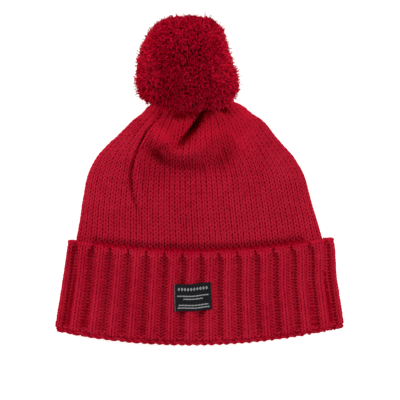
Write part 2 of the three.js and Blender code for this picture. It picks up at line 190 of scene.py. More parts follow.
@dataclass
class HatForm:
    """The hat's sizes, and the shape of its body that follows from them.

    Lengths are millimetres. bow_holds, tip_from, taper_step and fold_fade are shares of the
    body's length, and front_from and front_to are heights of the direction out of the cloth,
    between which the folds come in. The lips of a lapping fold are in widths of its tight side.
    """

    body_width: float = 221.0
    body_length: float = 185.0
    crown_loft: float = 20.0
    side_bend: float = 5.0
    opening_bow: float = 12.2
    bow_holds: float = 0.15
    opening_lean: float = 1.4
    floor_press: float = 0.5
    cuff_height: float = 68.5
    band_wall: float = 3.4
    turn_up_wall: float = 4.6
    layer_gap: float = 0.8
    rib_count: int = 31
    cuff_flare: float = 2.0
    cuff_aside: float = 1.4
    band_shortfall: float = 7.0
    back_settle: float = 20.0
    front_settle: float = 45.0
    gather_count: int = 11
    gather_depth: float = 1.8
    gather_length: float = 32.0
    tip_height: float = 11.0
    front_fullness: float = 2.5
    back_fullness: float = 4.5
    loop_steps: int = 720
    fold_steps: int = 10
    settle_gap: float = 2.0
    tip_from: float = 0.84
    taper_step: float = 0.01
    slant_limit: float = 2.0
    front_from: float = 0.15
    front_to: float = 0.75
    fold_fade: float = 0.03
    lip_middle: float = 1.5
    lip_width: float = 1.2
    lip_reach: float = 3.0
    origin_x: float = 1.00536
    origin_y: float = 115.49653
    sections: tuple[Section, ...] = (
        Section(0.0, 1.0, 0.009, 0.9),
        Section(0.28, 0.923, 0.01, 0.91),
        Section(0.42, 0.872, 0.002, 0.86),
        Section(0.535, 0.829, -0.011, 1.16),
        Section(0.64, 0.789, -0.018, 1.24),
        Section(0.72, 0.719, -0.024, 1.25),
        Section(0.77, 0.645, -0.024, 1.23),
        Section(0.822, 0.562, -0.015, 1.2),
        Section(0.874, 0.486, -0.006, 1.1),
        Section(0.917, 0.39, -0.011, 0.98),
        Section(0.943, 0.345, -0.018, 0.84),
        Section(0.97, 0.245, -0.014, 0.62),
        Section(1.0, 0.075, -0.01, 0.3),
    )
    folds: tuple[Fold, ...] = (
        Fold((-0.165, -0.062, 0.048), (0.776, 0.851, 0.95), 0.043, (-0.15, -0.85, -1.3), 0.36, 3.4),
        Fold((-0.03, -0.12, -0.25), (0.93, 0.885, 0.8), 0.06, (0.1, 0.24, 0.1)),
        Fold((0.15, 0.06, -0.04), (0.93, 0.855, 0.79), 0.075, (0.12, 0.18, 0.1)),
        Fold((-0.313, -0.089, 0.244), (0.863, 0.752, 0.876), 0.065, (0.2, 0.32, 0.2)),
        Fold((-0.29, -0.07, 0.17), (0.738, 0.68, 0.735), 0.11, (-0.42, -0.62, -0.2), 0.5, 1.2),
        Fold((-0.315, -0.29, -0.25), (0.77, 0.742, 0.715), 0.095, (-0.14, -0.42, -0.28)),
        Fold((0.06, 0.16, 0.27), (0.7, 0.745, 0.8), 0.13, (-0.2, -0.5, -0.14)),
        Fold((-0.33, -0.26, -0.2), (0.84, 0.825, 0.79), 0.07, (0.06, 0.14, 0.06)),
        Fold((-0.2, -0.12, -0.03), (0.908, 0.905, 0.916), 0.024, (-0.2, -0.75, -0.6)),
        Fold((0.09, 0.14, 0.205), (0.952, 0.94, 0.92), 0.02, (-0.4, -0.6, -0.1)),
        Fold((-0.313, -0.443, -0.371), (0.884, 0.717, 0.486), 0.045, (0.1, 0.24, 0.04)),
        Fold(
            (-0.262, -0.457, -0.435), (0.909, 0.717, 0.523), 0.021, (-0.1, -0.27, -0.06), 0.5, 1.5
        ),
        Fold((-0.02, -0.03, -0.02), (0.6, 0.5, 0.4), 0.05, (-0.01, -0.05, -0.01)),
        Fold((-0.74, 0.0, 0.74), (0.372, 0.374, 0.372), 0.031, (-0.22, -0.26, -0.24)),
    )

    @property
    def cuff_stack(self) -> float:
        """How far the turn-up stands out from the inner band."""
        return self.layer_gap + self.turn_up_wall

    @property
    def cuff_top(self) -> float:
        """The cuff's top edge, as a share of the body's length."""
        return self.cuff_height / self.body_length

    def table(self, column: str, up: np.ndarray) -> np.ndarray:
        """Reads a column of the section table on a smooth curve.

        Args:
            column: The column's name.
            up: Heights, as shares of the body's length.

        Returns:
            The column's value at each height.
        """
        rows = np.array([section.up for section in self.sections])
        values = np.array([getattr(section, column) for section in self.sections])
        last = len(rows) - 1
        low = np.maximum(np.arange(last + 1) - 1, 0)
        high = np.minimum(np.arange(last + 1) + 1, last)
        slopes = (values[high] - values[low]) / (rows[high] - rows[low])
        i = np.clip(np.searchsorted(rows, up, side="left") - 1, 0, last - 1)
        span = rows[i + 1] - rows[i]
        t = (up - rows[i]) / span
        bend = t * t * (3 - 2 * t)
        lean = span * t * (1 - t) * ((1 - t) * slopes[i] - t * slopes[i + 1])
        return values[i] + (values[i + 1] - values[i]) * bend + lean

    def section(self, up: np.ndarray) -> SectionShape:
        """Measures the sections at some heights.

        Args:
            up: Heights, as shares of the body's length.

        Returns:
            The sections' sizes.
        """
        held = np.clip(up, 0, 1)
        start, height = self.cuff_height + self.settle_gap, up * self.body_length
        lift = 1 - smooth_step(start, self.cuff_height + self.back_settle, height)
        front_lift = 1 - smooth_step(start, self.cuff_height + self.front_settle, height)
        near_tip = smooth_step(self.tip_from, 1, held)
        tip_lift = near_tip * self.tip_height
        pressed = self.floor_press * (1 - lift) * (1 - near_tip)
        back = lift * self.cuff_stack + tip_lift - pressed
        loft = self.table("loft", held) * self.crown_loft
        front = front_lift * self.cuff_stack + tip_lift + loft
        below = np.maximum(held - self.taper_step, 0)
        above = np.minimum(held + self.taper_step, 1)
        half_width = self.body_width / 2
        narrowing = (self.table("half", below) - self.table("half", above)) * half_width
        taper = narrowing / (2 * self.taper_step * self.body_length)
        return SectionShape(
            half=self.table("half", held) * half_width,
            centre=self.table("centre", held) * half_width,
            back=back,
            front=front,
            side=np.minimum(back + self.side_bend, (front + back) / 2),
            slant=np.minimum(np.hypot(1, taper), self.slant_limit),
        )

    def fold_moves(self, x: np.ndarray, y: np.ndarray) -> np.ndarray:
        """Finds how the crown's front is moved by its folds.

        Args:
            x: Places across the hat.
            y: Places along it.

        Returns:
            The move at each place, with its axes last.
        """
        steps = np.linspace(0, 1, self.fold_steps + 1)
        half_width = self.body_width / 2
        sizes = (half_width, self.body_length, self.crown_loft)
        total = np.zeros((*x.shape, 3))
        for fold in self.folds:
            nearest, rise, left, left_x, left_y = nearest_on(fold.curve(steps, sizes), x, y)
            wide = fold.width * half_width
            tight = wide * fold.tight
            share = smooth_step(-tight, tight, left)
            bell = np.exp(-((nearest / (wide + (tight - wide) * share)) ** 2))
            total[..., 2] += rise * bell
            if fold.lap:
                deepest = min(fold.rise) * self.crown_loft
                lip = (left - self.lip_middle * tight) / (self.lip_width * tight)
                near = np.exp(-((nearest / (self.lip_reach * tight)) ** 2))
                reach = near * np.exp(-(lip**2)) * rise / deepest
                total[..., 0] -= fold.lap * reach * left_x
                total[..., 1] -= fold.lap * reach * left_y
        return total

    def _loops(
        self, shape: SectionShape, half: np.ndarray, outward: np.ndarray, floor: np.ndarray,
        columns: int,
    ) -> tuple[np.ndarray, np.ndarray]:
        """Places points evenly round the sections, from the middle of the back.

        Args:
            shape: The sections.
            half: Half the width of each ring.
            outward: How far each ring stands out from the body's outer face.
            floor: The lowest that each ring may lie.
            columns: How many points a ring has.

        Returns:
            The points' places across the hat, and their heights.
        """
        angle = np.linspace(-math.pi / 2, 1.5 * math.pi, self.loop_steps + 1)
        c, s = np.cos(angle)[None], np.sin(angle)[None]
        power = np.where(s > 0, 2 / self.front_fullness, 2 / self.back_fullness)
        front, back = shape.front - shape.side, shape.side - shape.back
        rise = np.where(s > 0, front[:, None], back[:, None]) + outward[:, None]
        loop_x = shape.centre[:, None] + np.sign(c) * half * np.abs(c) ** power
        loop_z = shape.side[:, None] + np.sign(s) * rise * np.abs(s) ** power
        loop_z = np.maximum(loop_z, floor)
        steps = np.hypot(np.diff(loop_x, axis=1), np.diff(loop_z, axis=1))
        rows = len(outward)
        along = np.concatenate([np.zeros((rows, 1)), np.cumsum(steps, axis=1)], axis=1)
        share = np.arange(columns) / columns
        x, z = np.empty((rows, columns)), np.empty((rows, columns))
        for row in range(rows):
            wanted = share * along[row, -1]
            x[row] = np.interp(wanted, along[row], loop_x[row])
            z[row] = np.interp(wanted, along[row], loop_z[row])
        return x, z

    def rings(
        self, up: np.ndarray, outward: np.ndarray, columns: int,
        drop: np.ndarray | float = 0.0, aside: np.ndarray | float = 0.0,
        rest: np.ndarray | float = 0.0, relief: np.ndarray | float = 0.0,
    ) -> np.ndarray:
        """Places rings of points round the body, evenly from the middle of its back.

        Args:
            up: The rings' heights, as shares of the body's length.
            outward: How far each ring stands out from the body's outer face.
            columns: How many points a ring has.
            drop: How far each ring lies beyond the head opening's corners.
            aside: How far each ring hangs over to the right.
            rest: The lowest that each ring may lie.
            relief: How far each point is moved outward.

        Returns:
            The points in metres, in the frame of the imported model, as rows, columns and axes.
        """
        shape = self.section(up)
        half = (shape.half + outward * shape.slant)[:, None]
        floor, fall, beside = (column_of(value, len(up)) for value in (rest, drop, aside))
        x, z = self._loops(shape, half, outward, floor, columns)
        way_x = np.roll(x, -1, axis=1) - np.roll(x, 1, axis=1)
        way_z = np.roll(z, -1, axis=1) - np.roll(z, 1, axis=1)
        out = unit(np.stack([way_z, -way_x], axis=-1))
        x = x + out[..., 0] * relief
        z = z + out[..., 1] * relief
        across = np.clip((x - shape.centre[:, None]) / half, -1, 1)
        height = (up * self.body_length)[:, None]
        is_front = smooth_step(self.front_from, self.front_to, out[..., 1])
        fade = smooth_step(self.cuff_top - self.fold_fade, self.cuff_top, up)[:, None]
        moves = self.fold_moves(x, np.broadcast_to(height, x.shape))
        moves = moves * (is_front * fade)[..., None]
        x, z = x + moves[..., 0], z + moves[..., 2]
        bow_fade = (1 - smooth_step(self.bow_holds, 1, up))[:, None]
        lean_fade = (1 - smooth_step(0, 1, up))[:, None]
        bow = self.opening_bow * bow_fade * (1 - across**2)
        y = height - fall - bow + self.opening_lean * lean_fade * across + moves[..., 1]
        places = [x + beside - self.origin_x, y - self.origin_y, np.maximum(z, floor)]
        return np.stack(places, axis=-1) * MM

    def gather_relief(self, up: np.ndarray, share: np.ndarray) -> np.ndarray:
        """How far the gathers at the tip draw the crown in, by row and column."""
        start = 1 - self.gather_length / self.body_length
        wave = 0.5 + 0.5 * np.cos(FULL_TURN * self.gather_count * share)
        return -self.gather_depth * smooth_step(start, 1, up)[:, None] * wave[None]


@dataclass
class ClothFace:
    """A face of the cloth as a fine grid, closed round the hat.

    The columns go evenly round it, and the rows lie at the given distances along it.
    """

    points: np.ndarray
    along: np.ndarray
    turn: float

    def __post_init__(self) -> None:
        """Works out which way is out of the cloth, all over the face."""
        around = np.roll(self.points, -1, axis=1) - np.roll(self.points, 1, axis=1)
        upward = np.gradient(self.points, axis=0)
        self.normals = unit(np.cross(upward, around) * self.turn)

    def read(self, grid: np.ndarray, share: np.ndarray, along: np.ndarray) -> np.ndarray:
        """Reads a grid between its points.

        Args:
            grid: One vector for each point of the face.
            share: Shares of the way round.
            along: Distances along the face.

        Returns:
            The vectors there.
        """
        rows, columns = grid.shape[:2]
        row = np.interp(along, self.along, np.arange(rows))
        i = np.minimum(row.astype(int), rows - 2)
        f = (row - i)[..., None]
        column = np.mod(share, 1.0) * columns
        j = np.floor(column).astype(int)
        g = (column - j)[..., None]
        j, k = j % columns, (j + 1) % columns
        low = grid[i, j] * (1 - g) + grid[i, k] * g
        high = grid[i + 1, j] * (1 - g) + grid[i + 1, k] * g
        return low * (1 - f) + high * f

    def normal(self, share: np.ndarray, along: np.ndarray) -> np.ndarray:
        """The direction out of the cloth at some places."""
        return unit(self.read(self.normals, share, along))

    def place(self, share: np.ndarray, along: np.ndarray, out: np.ndarray) -> np.ndarray:
        """Finds points on the cloth or beside it.

        Args:
            share: Shares of the way round.
            along: Distances along the face, in millimetres.
            out: Distances outward from it, in millimetres.

        Returns:
            The points in metres.
        """
        share, along, out = np.broadcast_arrays(share, along, out)
        outward = self.normal(share, along) * (out * MM)[..., None]
        return self.read(self.points, share, along) + outward

    def width(self, share: np.ndarray, along: np.ndarray) -> np.ndarray:
        """How long the way round would be, in millimetres, at the scale of some places."""
        step = 1 / self.points.shape[1]
        before = self.read(self.points, share - step, along)
        after = self.read(self.points, share + step, along)
        return np.linalg.norm(after - before, axis=-1) / (2 * step * MM)


# Meshes


@dataclass
class Pattern:
    """The faces of a shape that is repeated, with the grid place of each of its vertices."""

    corners: np.ndarray
    sizes: np.ndarray
    uv: np.ndarray
    places: np.ndarray


def read_pattern(bm: bmesh.types.BMesh, columns: int) -> Pattern:
    """Reads a shape that was made with bmesh operators.

    Args:
        bm: The shape, with the place of each vertex in its layer "place".
        columns: How many places a row has.

    Returns:
        Its faces and places.
    """
    bm.verts.index_update()
    layer = bm.verts.layers.int["place"]
    uv = bm.loops.layers.uv.active
    places = np.array([divmod(vert[layer], columns) for vert in bm.verts])
    corners = np.array([loop.vert.index for face in bm.faces for loop in face.loops])
    sizes = np.array([len(face.loops) for face in bm.faces])
    flat = np.array([loop[uv].uv[:] for face in bm.faces for loop in face.loops])
    return Pattern(corners, sizes, flat, places)


def ring_pattern(steps: int, sides: int) -> Pattern:
    """Makes a closed tube that bites its own tail.

    Args:
        steps: How many steps it has along its length.
        sides: How many sides its section has.

    Returns:
        Its faces; a place is its step and its side.
    """
    bm = bmesh.new()
    bm.loops.layers.uv.new("yarn")
    layer = bm.verts.layers.int.new("place")
    bmesh.ops.create_grid(bm, x_segments=steps, y_segments=sides, size=0.5, calc_uvs=True)
    for vert in bm.verts:
        i, q = round((vert.co.x + 0.5) * steps), round((vert.co.y + 0.5) * sides)
        vert[layer] = (i % steps) * sides + q % sides
        turn, tilt = FULL_TURN * i / steps, FULL_TURN * q / sides
        reach = 4 + math.cos(tilt)
        vert.co = (reach * math.cos(turn), reach * math.sin(turn), math.sin(tilt))
    bmesh.ops.remove_doubles(bm, verts=bm.verts, dist=1e-4)
    pattern = read_pattern(bm, sides)
    bm.free()
    return pattern


def strand_pattern(bends: int, sides: int) -> Pattern:
    """Makes a straight closed strand with cuts along its length.

    Args:
        bends: How many cuts it has between its ends.
        sides: How many sides its section has.

    Returns:
        Its faces; a place is its height, from 0 to bends + 1, and its side, and one past the last
        side stands for the middle of an end.
    """
    bm = bmesh.new()
    uv = bm.loops.layers.uv.new("yarn")
    layer = bm.verts.layers.int.new("place")
    bmesh.ops.create_cone(
        bm, cap_ends=True, segments=sides, radius1=1, radius2=1, depth=bends + 1
    )
    for cut in range(1, bends + 1):
        height = cut - (bends + 1) / 2
        geometry = bm.verts[:] + bm.edges[:] + bm.faces[:]
        bmesh.ops.bisect_plane(bm, geom=geometry, plane_co=(0, 0, height), plane_no=(0, 0, 1))
    top = max(bm.faces, key=lambda face: face.calc_center_median().z)
    bmesh.ops.poke(bm, faces=[top])
    first = math.atan2(bm.verts[:][0].co.y, bm.verts[:][0].co.x)
    for vert in bm.verts:
        height = round(vert.co.z + (bends + 1) / 2)
        turn = math.atan2(vert.co.y, vert.co.x) - first
        side = round(turn / FULL_TURN * sides) % sides
        vert[layer] = height * (sides + 1) + (sides if vert.co.xy.length < 0.5 else side)
    for face in bm.faces:
        for loop in face.loops:
            height, side = divmod(loop.vert[layer], sides + 1)
            loop[uv].uv = (height / (bends + 1), side / sides)
    pattern = read_pattern(bm, sides + 1)
    bm.free()
    return pattern


class MeshParts:
    """Collects repeated shapes and joins them in one mesh."""

    def __init__(self) -> None:
        """Starts with nothing."""
        self.points: list[np.ndarray] = []
        self.corners: list[np.ndarray] = []
        self.sizes: list[np.ndarray] = []
        self.uv: list[np.ndarray] = []
        self.count = 0

    def add(self, pattern: Pattern, points: np.ndarray, uv: np.ndarray) -> None:
        """Adds copies of one shape.

        Args:
            pattern: The shape's faces.
            points: Each copy's points, in the pattern's own order.
            uv: Each copy's place on its yarn, for each corner of its faces.
        """
        copies, size = points.shape[:2]
        points = points.copy()
        points[..., 2] = np.maximum(points[..., 2], 0)
        starts = self.count + size * np.arange(copies)[:, None]
        self.points.append(points.reshape(-1, 3))
        self.corners.append((pattern.corners[None] + starts).ravel())
        self.sizes.append(np.tile(pattern.sizes, copies))
        self.uv.append(uv.reshape(-1, 2))
        self.count += copies * size

    def piece(self, name: str) -> bpy.types.Object:
        """Makes the object.

        Args:
            name: Its name.

        Returns:
            The object, smooth shaded, with the UV map "yarn".
        """
        corners, sizes = np.concatenate(self.corners), np.concatenate(self.sizes)
        starts = np.concatenate([[0], np.cumsum(sizes)[:-1]])
        mesh = bpy.data.meshes.new(name)
        mesh.vertices.add(self.count)
        mesh.vertices.foreach_set("co", np.concatenate(self.points).astype(np.float32).ravel())
        mesh.loops.add(len(corners))
        mesh.loops.foreach_set("vertex_index", corners.astype(np.int32))
        mesh.polygons.add(len(sizes))
        mesh.polygons.foreach_set("loop_start", starts.astype(np.int32))
        mesh.polygons.foreach_set("use_smooth", np.ones(len(sizes), bool))
        layer = mesh.uv_layers.new(name="yarn")
        layer.data.foreach_set("uv", np.concatenate(self.uv).astype(np.float32).ravel())
        mesh.update(calc_edges=True)
        mesh.validate()
        return shown(name, mesh)


def shown(name: str, data: bpy.types.ID) -> bpy.types.Object:
    """Makes an object of a mesh, a light or a camera and puts it in the scene."""
    made = bpy.data.objects.new(name, data)
    bpy.context.scene.collection.objects.link(made)
    return made


def piece_of(name: str, bm: bmesh.types.BMesh) -> bpy.types.Object:
    """Makes a smooth object of a bmesh, which it frees.

    Args:
        name: The object's name.
        bm: The shape.

    Returns:
        The object.
    """
    mesh = bpy.data.meshes.new(name)
    bm.to_mesh(mesh)
    bm.free()
    mesh.shade_smooth()
    return shown(name, mesh)


def triangles(piece: bpy.types.Object) -> int:
    """How many triangles a piece has."""
    return sum(len(polygon.vertices) - 2 for polygon in piece.data.polygons)


def wrap_grid(
    bm: bmesh.types.BMesh, face: ClothFace, columns: int, along: np.ndarray, out: float,
    stitches: Pair,
) -> list[bmesh.types.BMVert]:
    """Wraps a grid round a face of the cloth, as an open tube.

    Args:
        bm: Where the tube goes.
        face: The face.
        columns: How many columns the grid has.
        along: The places of its rows.
        out: How far it lies outward of the face.
        stitches: How many columns of stitches go round it, and the height of a stitch.

    Returns:
        The tube's vertices. Its UV map "cloth" counts stitches.
    """
    uv = bm.loops.layers.uv.get("cloth") or bm.loops.layers.uv.new("cloth")
    rows = len(along) - 1
    grid = {"x_segments": columns, "y_segments": rows, "size": 0.5, "calc_uvs": True}
    verts = bmesh.ops.create_grid(bm, **grid)["verts"]
    for loop in {loop for vert in verts for loop in vert.link_loops}:
        across, upward = loop[uv].uv
        height = np.interp(upward * rows, np.arange(rows + 1), along)
        loop[uv].uv = (across * stitches[0], height / stitches[1])
    share = np.array([vert.co.x + 0.5 for vert in verts])
    row = np.array([(vert.co.y + 0.5) * rows for vert in verts])
    height = np.interp(row, np.arange(rows + 1), along)
    points = face.place(share, height, np.full(len(verts), out))
    for vert, point in zip(verts, points):
        vert.co = (point[0], point[1], max(point[2], LOWEST_CLOTH))
    bmesh.ops.remove_doubles(bm, verts=verts, dist=1e-6)
    return [vert for vert in verts if vert.is_valid]


def cloth_shell(
    name: str, face: ClothFace, columns: int, along: np.ndarray, out: Pair, stitches: Pair,
    capped: bool,
) -> bpy.types.Object:
    """Builds a closed shell of cloth behind a face.

    Args:
        name: The piece's name.
        face: The face.
        columns: How many columns it has.
        along: The places of its rows.
        out: How far its two sides lie outward of the face.
        stitches: How many columns of stitches go round it, and the height of a stitch.
        capped: Whether its far end is closed, as at the crown's tip.

    Returns:
        The shell.
    """
    bm = bmesh.new()
    walls = [wrap_grid(bm, face, columns, along, depth, stitches) for depth in out]
    rims = {"near": [], "far": []}
    for wall in walls:
        open_edges = {edge for vert in wall for edge in vert.link_edges if edge.is_boundary}
        start = face.place(np.zeros(1), along[:1], np.full(1, out[0]))[0]
        near = min(wall, key=lambda vert: (vert.co - Vector(start)).length)
        loop = ring_of(open_edges, near)
        rims["near"] += loop
        rims["far"] += open_edges - set(loop)
    bmesh.ops.bridge_loops(bm, edges=rims["near"])
    if capped:
        caps = bmesh.ops.edgeloop_fill(bm, edges=rims["far"])["faces"]
        bmesh.ops.poke(bm, faces=caps)
    else:
        bmesh.ops.bridge_loops(bm, edges=rims["far"])
    bmesh.ops.recalc_face_normals(bm, faces=bm.faces)
    return piece_of(name, bm)


def ring_of(edges: set[bmesh.types.BMEdge], vert: bmesh.types.BMVert) -> list[bmesh.types.BMEdge]:
    """Follows open edges round from a vertex.

    Args:
        edges: The open edges.
        vert: A vertex on the ring that is wanted.

    Returns:
        The ring's edges.
    """
    found, todo = set(), [vert]
    while todo:
        for edge in todo.pop().link_edges:
            if edge in edges and edge not in found:
                found.add(edge)
                todo += edge.verts
    return list(found)


# Finishes


class Nodes:
    """A small helper that adds shader nodes to a tree and joins them."""

    def __init__(self, tree: bpy.types.NodeTree) -> None:
        """Takes the tree that the nodes go in."""
        self.tree = tree

    def add(self, kind: str, **inputs: object) -> bpy.types.Node:
        """Adds a node of a type, named without the word ShaderNode, with inputs as in set."""
        return self.set(self.tree.nodes.new("ShaderNode" + kind), **inputs)

    def set(self, node: bpy.types.Node, **inputs: object) -> bpy.types.Node:
        """Sets or joins some of a node's inputs.

        Args:
            node: The node.
            inputs: Values or sockets, by the input's name with underscores, or by number as i0.

        Returns:
            The same node.
        """
        for name, value in inputs.items():
            numbered = name[0] == "i" and name[1:].isdigit()
            self.join(value, node.inputs[int(name[1:]) if numbered else name.replace("_", " ")])
        return node

    def join(self, value: object, socket: bpy.types.NodeSocket) -> None:
        """Links a socket to an input, or sets the input's value; a colour may be three numbers."""
        if isinstance(value, bpy.types.NodeSocket):
            self.tree.links.new(value, socket)
        elif socket.type == "RGBA" and len(value) == 3:
            socket.default_value = (*value, 1)
        else:
            socket.default_value = value

    def group(self, tree: bpy.types.NodeTree, **inputs: object) -> bpy.types.Node:
        """Adds a node group, with values or sockets for its inputs."""
        node = self.tree.nodes.new("ShaderNodeGroup")
        node.node_tree = tree
        return self.set(node, **inputs)

    def place(self, uv_map: str | None = None) -> object:
        """Reads a place from a UV map, or from Object coordinates if none is named."""
        source = self.add("UVMap" if uv_map else "TexCoord")
        if uv_map:
            source.uv_map = uv_map
        return source.outputs["UV" if uv_map else "Object"]

    def split(self, place: object) -> SocketPair:
        """Gives a place's first and second number."""
        split = self.add("SeparateXYZ", Vector=place)
        return split.outputs[0], split.outputs[1]

    def math(self, operation: str, a: object, b: object = 0.0, c: object = 0.0) -> object:
        """Adds a Math node.

        Args:
            operation: What it does.
            a: Its first value or socket.
            b: Its second.
            c: Its third.

        Returns:
            Its output.
        """
        node = self.add("Math", i0=a, i1=b, i2=c)
        node.operation = operation
        return node.outputs[0]

    def mix(self, share: object, a: object, b: object) -> object:
        """Adds a Mix node for colours.

        Args:
            share: How much of the second colour it takes.
            a: The first colour.
            b: The second.

        Returns:
            The mixed colour.
        """
        node = self.tree.nodes.new("ShaderNodeMix")
        node.data_type = "RGBA"
        for value, index in ((share, 0), (a, 6), (b, 7)):
            self.join(value, node.inputs[index])
        return node.outputs[2]

    def noise(self, place: object, scale: float, detail: float, rough: float = 0.5) -> object:
        """Adds a noise and gives its value, from 0 to 1."""
        node = self.add("TexNoise", Vector=place, Scale=scale, Detail=detail, Roughness=rough)
        return node.outputs[0]

    def wave(self, turns: object) -> object:
        """The sine of a number of whole turns."""
        return self.math("SINE", self.math("MULTIPLY", turns, FULL_TURN))

    def away(self, value: object, middle: object) -> object:
        """How far a value is from a middle one."""
        return self.math("ABSOLUTE", self.math("SUBTRACT", value, middle))

    def ramp(self, value: object, start: float, end: float, low: float, high: float) -> object:
        """Goes smoothly from a low to a high value while another goes from start to end."""
        ends = {"From_Min": start, "From_Max": end, "To_Min": low, "To_Max": high}
        node = self.add("MapRange", Value=value, **ends)
        node.interpolation_type = "SMOOTHSTEP"
        return node.outputs[0]

    def bump(self, shader: bpy.types.Node, height: object, strength: float, over: float) -> None:
        """Bumps a shader's surface by a height, which is a number of millimetres at one."""
        bump = self.add("Bump", Height=height, Strength=strength, Distance=over * MM)
        self.set(shader, Normal=bump.outputs[0])


def new_group(name: str, inputs: dict[str, str], outputs: dict[str, str]) -> Nodes:
    """Starts a shader node group.

    Args:
        name: The group's name.
        inputs: The kinds of its inputs, by name.
        outputs: The kinds of its outputs, by name.

    Returns:
        The helper for its tree, whose ends are group.start and group.end.
    """
    tree = bpy.data.node_groups.new(name, "ShaderNodeTree")
    for sockets, side in ((inputs, "INPUT"), (outputs, "OUTPUT")):
        for socket, kind in sockets.items():
            tree.interface.new_socket(name=socket, in_out=side, socket_type="NodeSocket" + kind)
    group = Nodes(tree)
    group.start = tree.nodes.new("NodeGroupInput")
    group.end = tree.nodes.new("NodeGroupOutput")
    return group


def wool_shade_group() -> bpy.types.NodeTree:
    """Builds the group that mottles dyed wool, on Object coordinates in metres."""
    known = bpy.data.node_groups.get("wool_shade")
    if known:
        return known
    group = new_group(
        "wool_shade",
        {
            "Colour": "Color", "Deep": "Color", "Light": "Color",
            "Mottle": "Float", "Groove": "Float", "Bloom": "Float",
        },
        {"Colour": "Color", "Fibre": "Float"},
    )
    entry = group.start.outputs
    place = group.place()
    total = 0.0
    for scale, detail, weight in WOOL_NOISES:
        fibre = group.noise(place, scale, detail)
        total = group.math("MULTIPLY_ADD", fibre, weight, total)
    swing = group.math("MULTIPLY", group.math("SUBTRACT", total, 0.5), WOOL_NOISE_SWING)
    share = group.math("MULTIPLY_ADD", swing, entry["Mottle"], 1.0)
    low = group.mix(0.5, entry["Colour"], entry["Deep"])
    toned = group.mix(share, low, entry["Colour"])
    # Lighten brings a painted highlight, and the mottle's random lighter tone, towards Light.
    raised = group.math("ADD", group.math("SUBTRACT", share, 1.0), entry["Bloom"])
    toned = group.mix(group.math("MULTIPLY", raised, 0.8), toned, entry["Light"])
    # Painted shade in the grooves, towards Deep.
    deep = group.mix(entry["Groove"], toned, entry["Deep"])
    group.join(deep, group.end.inputs["Colour"])
    group.join(fibre, group.end.inputs["Fibre"])
    return group.tree


def yarn_twist_group() -> bpy.types.NodeTree:
    """Builds the group that lays plies round a yarn, from a UV map along and round it."""
    known = bpy.data.node_groups.get("yarn_twist")
    if known:
        return known
    group = new_group(
        "yarn_twist",
        {"Place": "Vector", "Twist": "Float", "Plies": "Float"},
        {"Height": "Float", "Groove": "Float"},
    )
    entry = group.start.outputs
    along, around = group.split(entry["Place"])
    turn = group.math("MULTIPLY", along, entry["Twist"])
    around = group.math("MULTIPLY_ADD", around, entry["Plies"], turn)
    wave = group.math("PINGPONG", around, 0.5)
    height = group.math("POWER", group.math("MULTIPLY", wave, 2.0), 0.5)
    groove = group.math("SUBTRACT", 1.0, height)
    group.join(height, group.end.inputs["Height"])
    group.join(group.math("POWER", groove, 2.0), group.end.inputs["Groove"])
    return group.tree


def new_material(name: str) -> tuple[bpy.types.Material, Nodes, bpy.types.Node]:
    """Starts a material.

    Args:
        name: Its name.

    Returns:
        The material, the helper for its tree, and its Principled BSDF.
    """
    material = bpy.data.materials.new(name)
    material.use_nodes = True
    nodes = Nodes(material.node_tree)
    return material, nodes, material.node_tree.nodes["Principled BSDF"]


@dataclass(frozen=True)
class WoolFinish:
    """Dyed wool yarn; colours are linear.

    The side that faces out of the cloth gets a painted highlight towards light, as strong as
    bloom, and crest is how narrow that side is.
    """

    name: str
    colour: Colour = (0.47, 0.0014, 0.018)
    deep: Colour = (0.12, 0.0001, 0.003)
    light: Colour = (0.8, 0.028, 0.072)
    bloom: float = 0.5
    crest: float = 4.0
    mottle: float = 0.5
    # groove is how much painted shade the grooves between the plies get, towards deep; the darkest
    # random mottle goes halfway to deep.
    groove: float = 0.35
    twist: float = 0.3
    plies: float = 3.0
    relief: float = 0.12
    fibre_relief: float = 0.6
    bump: float = 0.7
    sheen: float = 0.25
    roughness: float = 0.86

    def material(self) -> bpy.types.Material:
        """Builds the material.

        Returns:
            The material, which reads the UV map "yarn" and Object coordinates.
        """
        material, nodes, shader = new_material(self.name)
        place = nodes.place("yarn")
        along, around = nodes.split(place)
        twist = nodes.group(yarn_twist_group(), Place=place, Twist=self.twist, Plies=self.plies)
        # Painted shade in the grooves between the plies.
        groove = nodes.math("MULTIPLY", twist.outputs["Groove"], self.groove)
        shade = nodes.group(
            wool_shade_group(), Colour=self.colour, Deep=self.deep, Light=self.light,
            Mottle=self.mottle, Groove=groove,
        )
        bloom, colour = self._lit(nodes, along, around, shade.outputs["Colour"])
        nodes.set(shade, Bloom=bloom)
        height = nodes.math(
            "MULTIPLY_ADD", shade.outputs["Fibre"], self.fibre_relief, twist.outputs["Height"]
        )
        nodes.bump(shader, height, self.bump, self.relief)
        nodes.set(
            shader, Base_Color=colour, Roughness=self.roughness, Specular_IOR_Level=0.01,
            Sheen_Weight=self.sheen, Sheen_Roughness=0.4, Sheen_Tint=(1.0, 0.04, 0.1),
        )
        return material

    def _lit(self, nodes: Nodes, along: object, around: object, colour: object) -> SocketPair:
        """Paints a highlight on the side of the yarn that faces out of the cloth.

        Args:
            nodes: The material's nodes.
            along: The place along the yarn.
            around: The place round it.
            colour: The yarn's shaded colour.

        Returns:
            How much painted highlight the yarn gets, and its finished colour.
        """
        outer = nodes.math("POWER", nodes.math("MAXIMUM", nodes.wave(around), 0.0), self.crest)
        return nodes.math("MULTIPLY", outer, self.bloom), colour


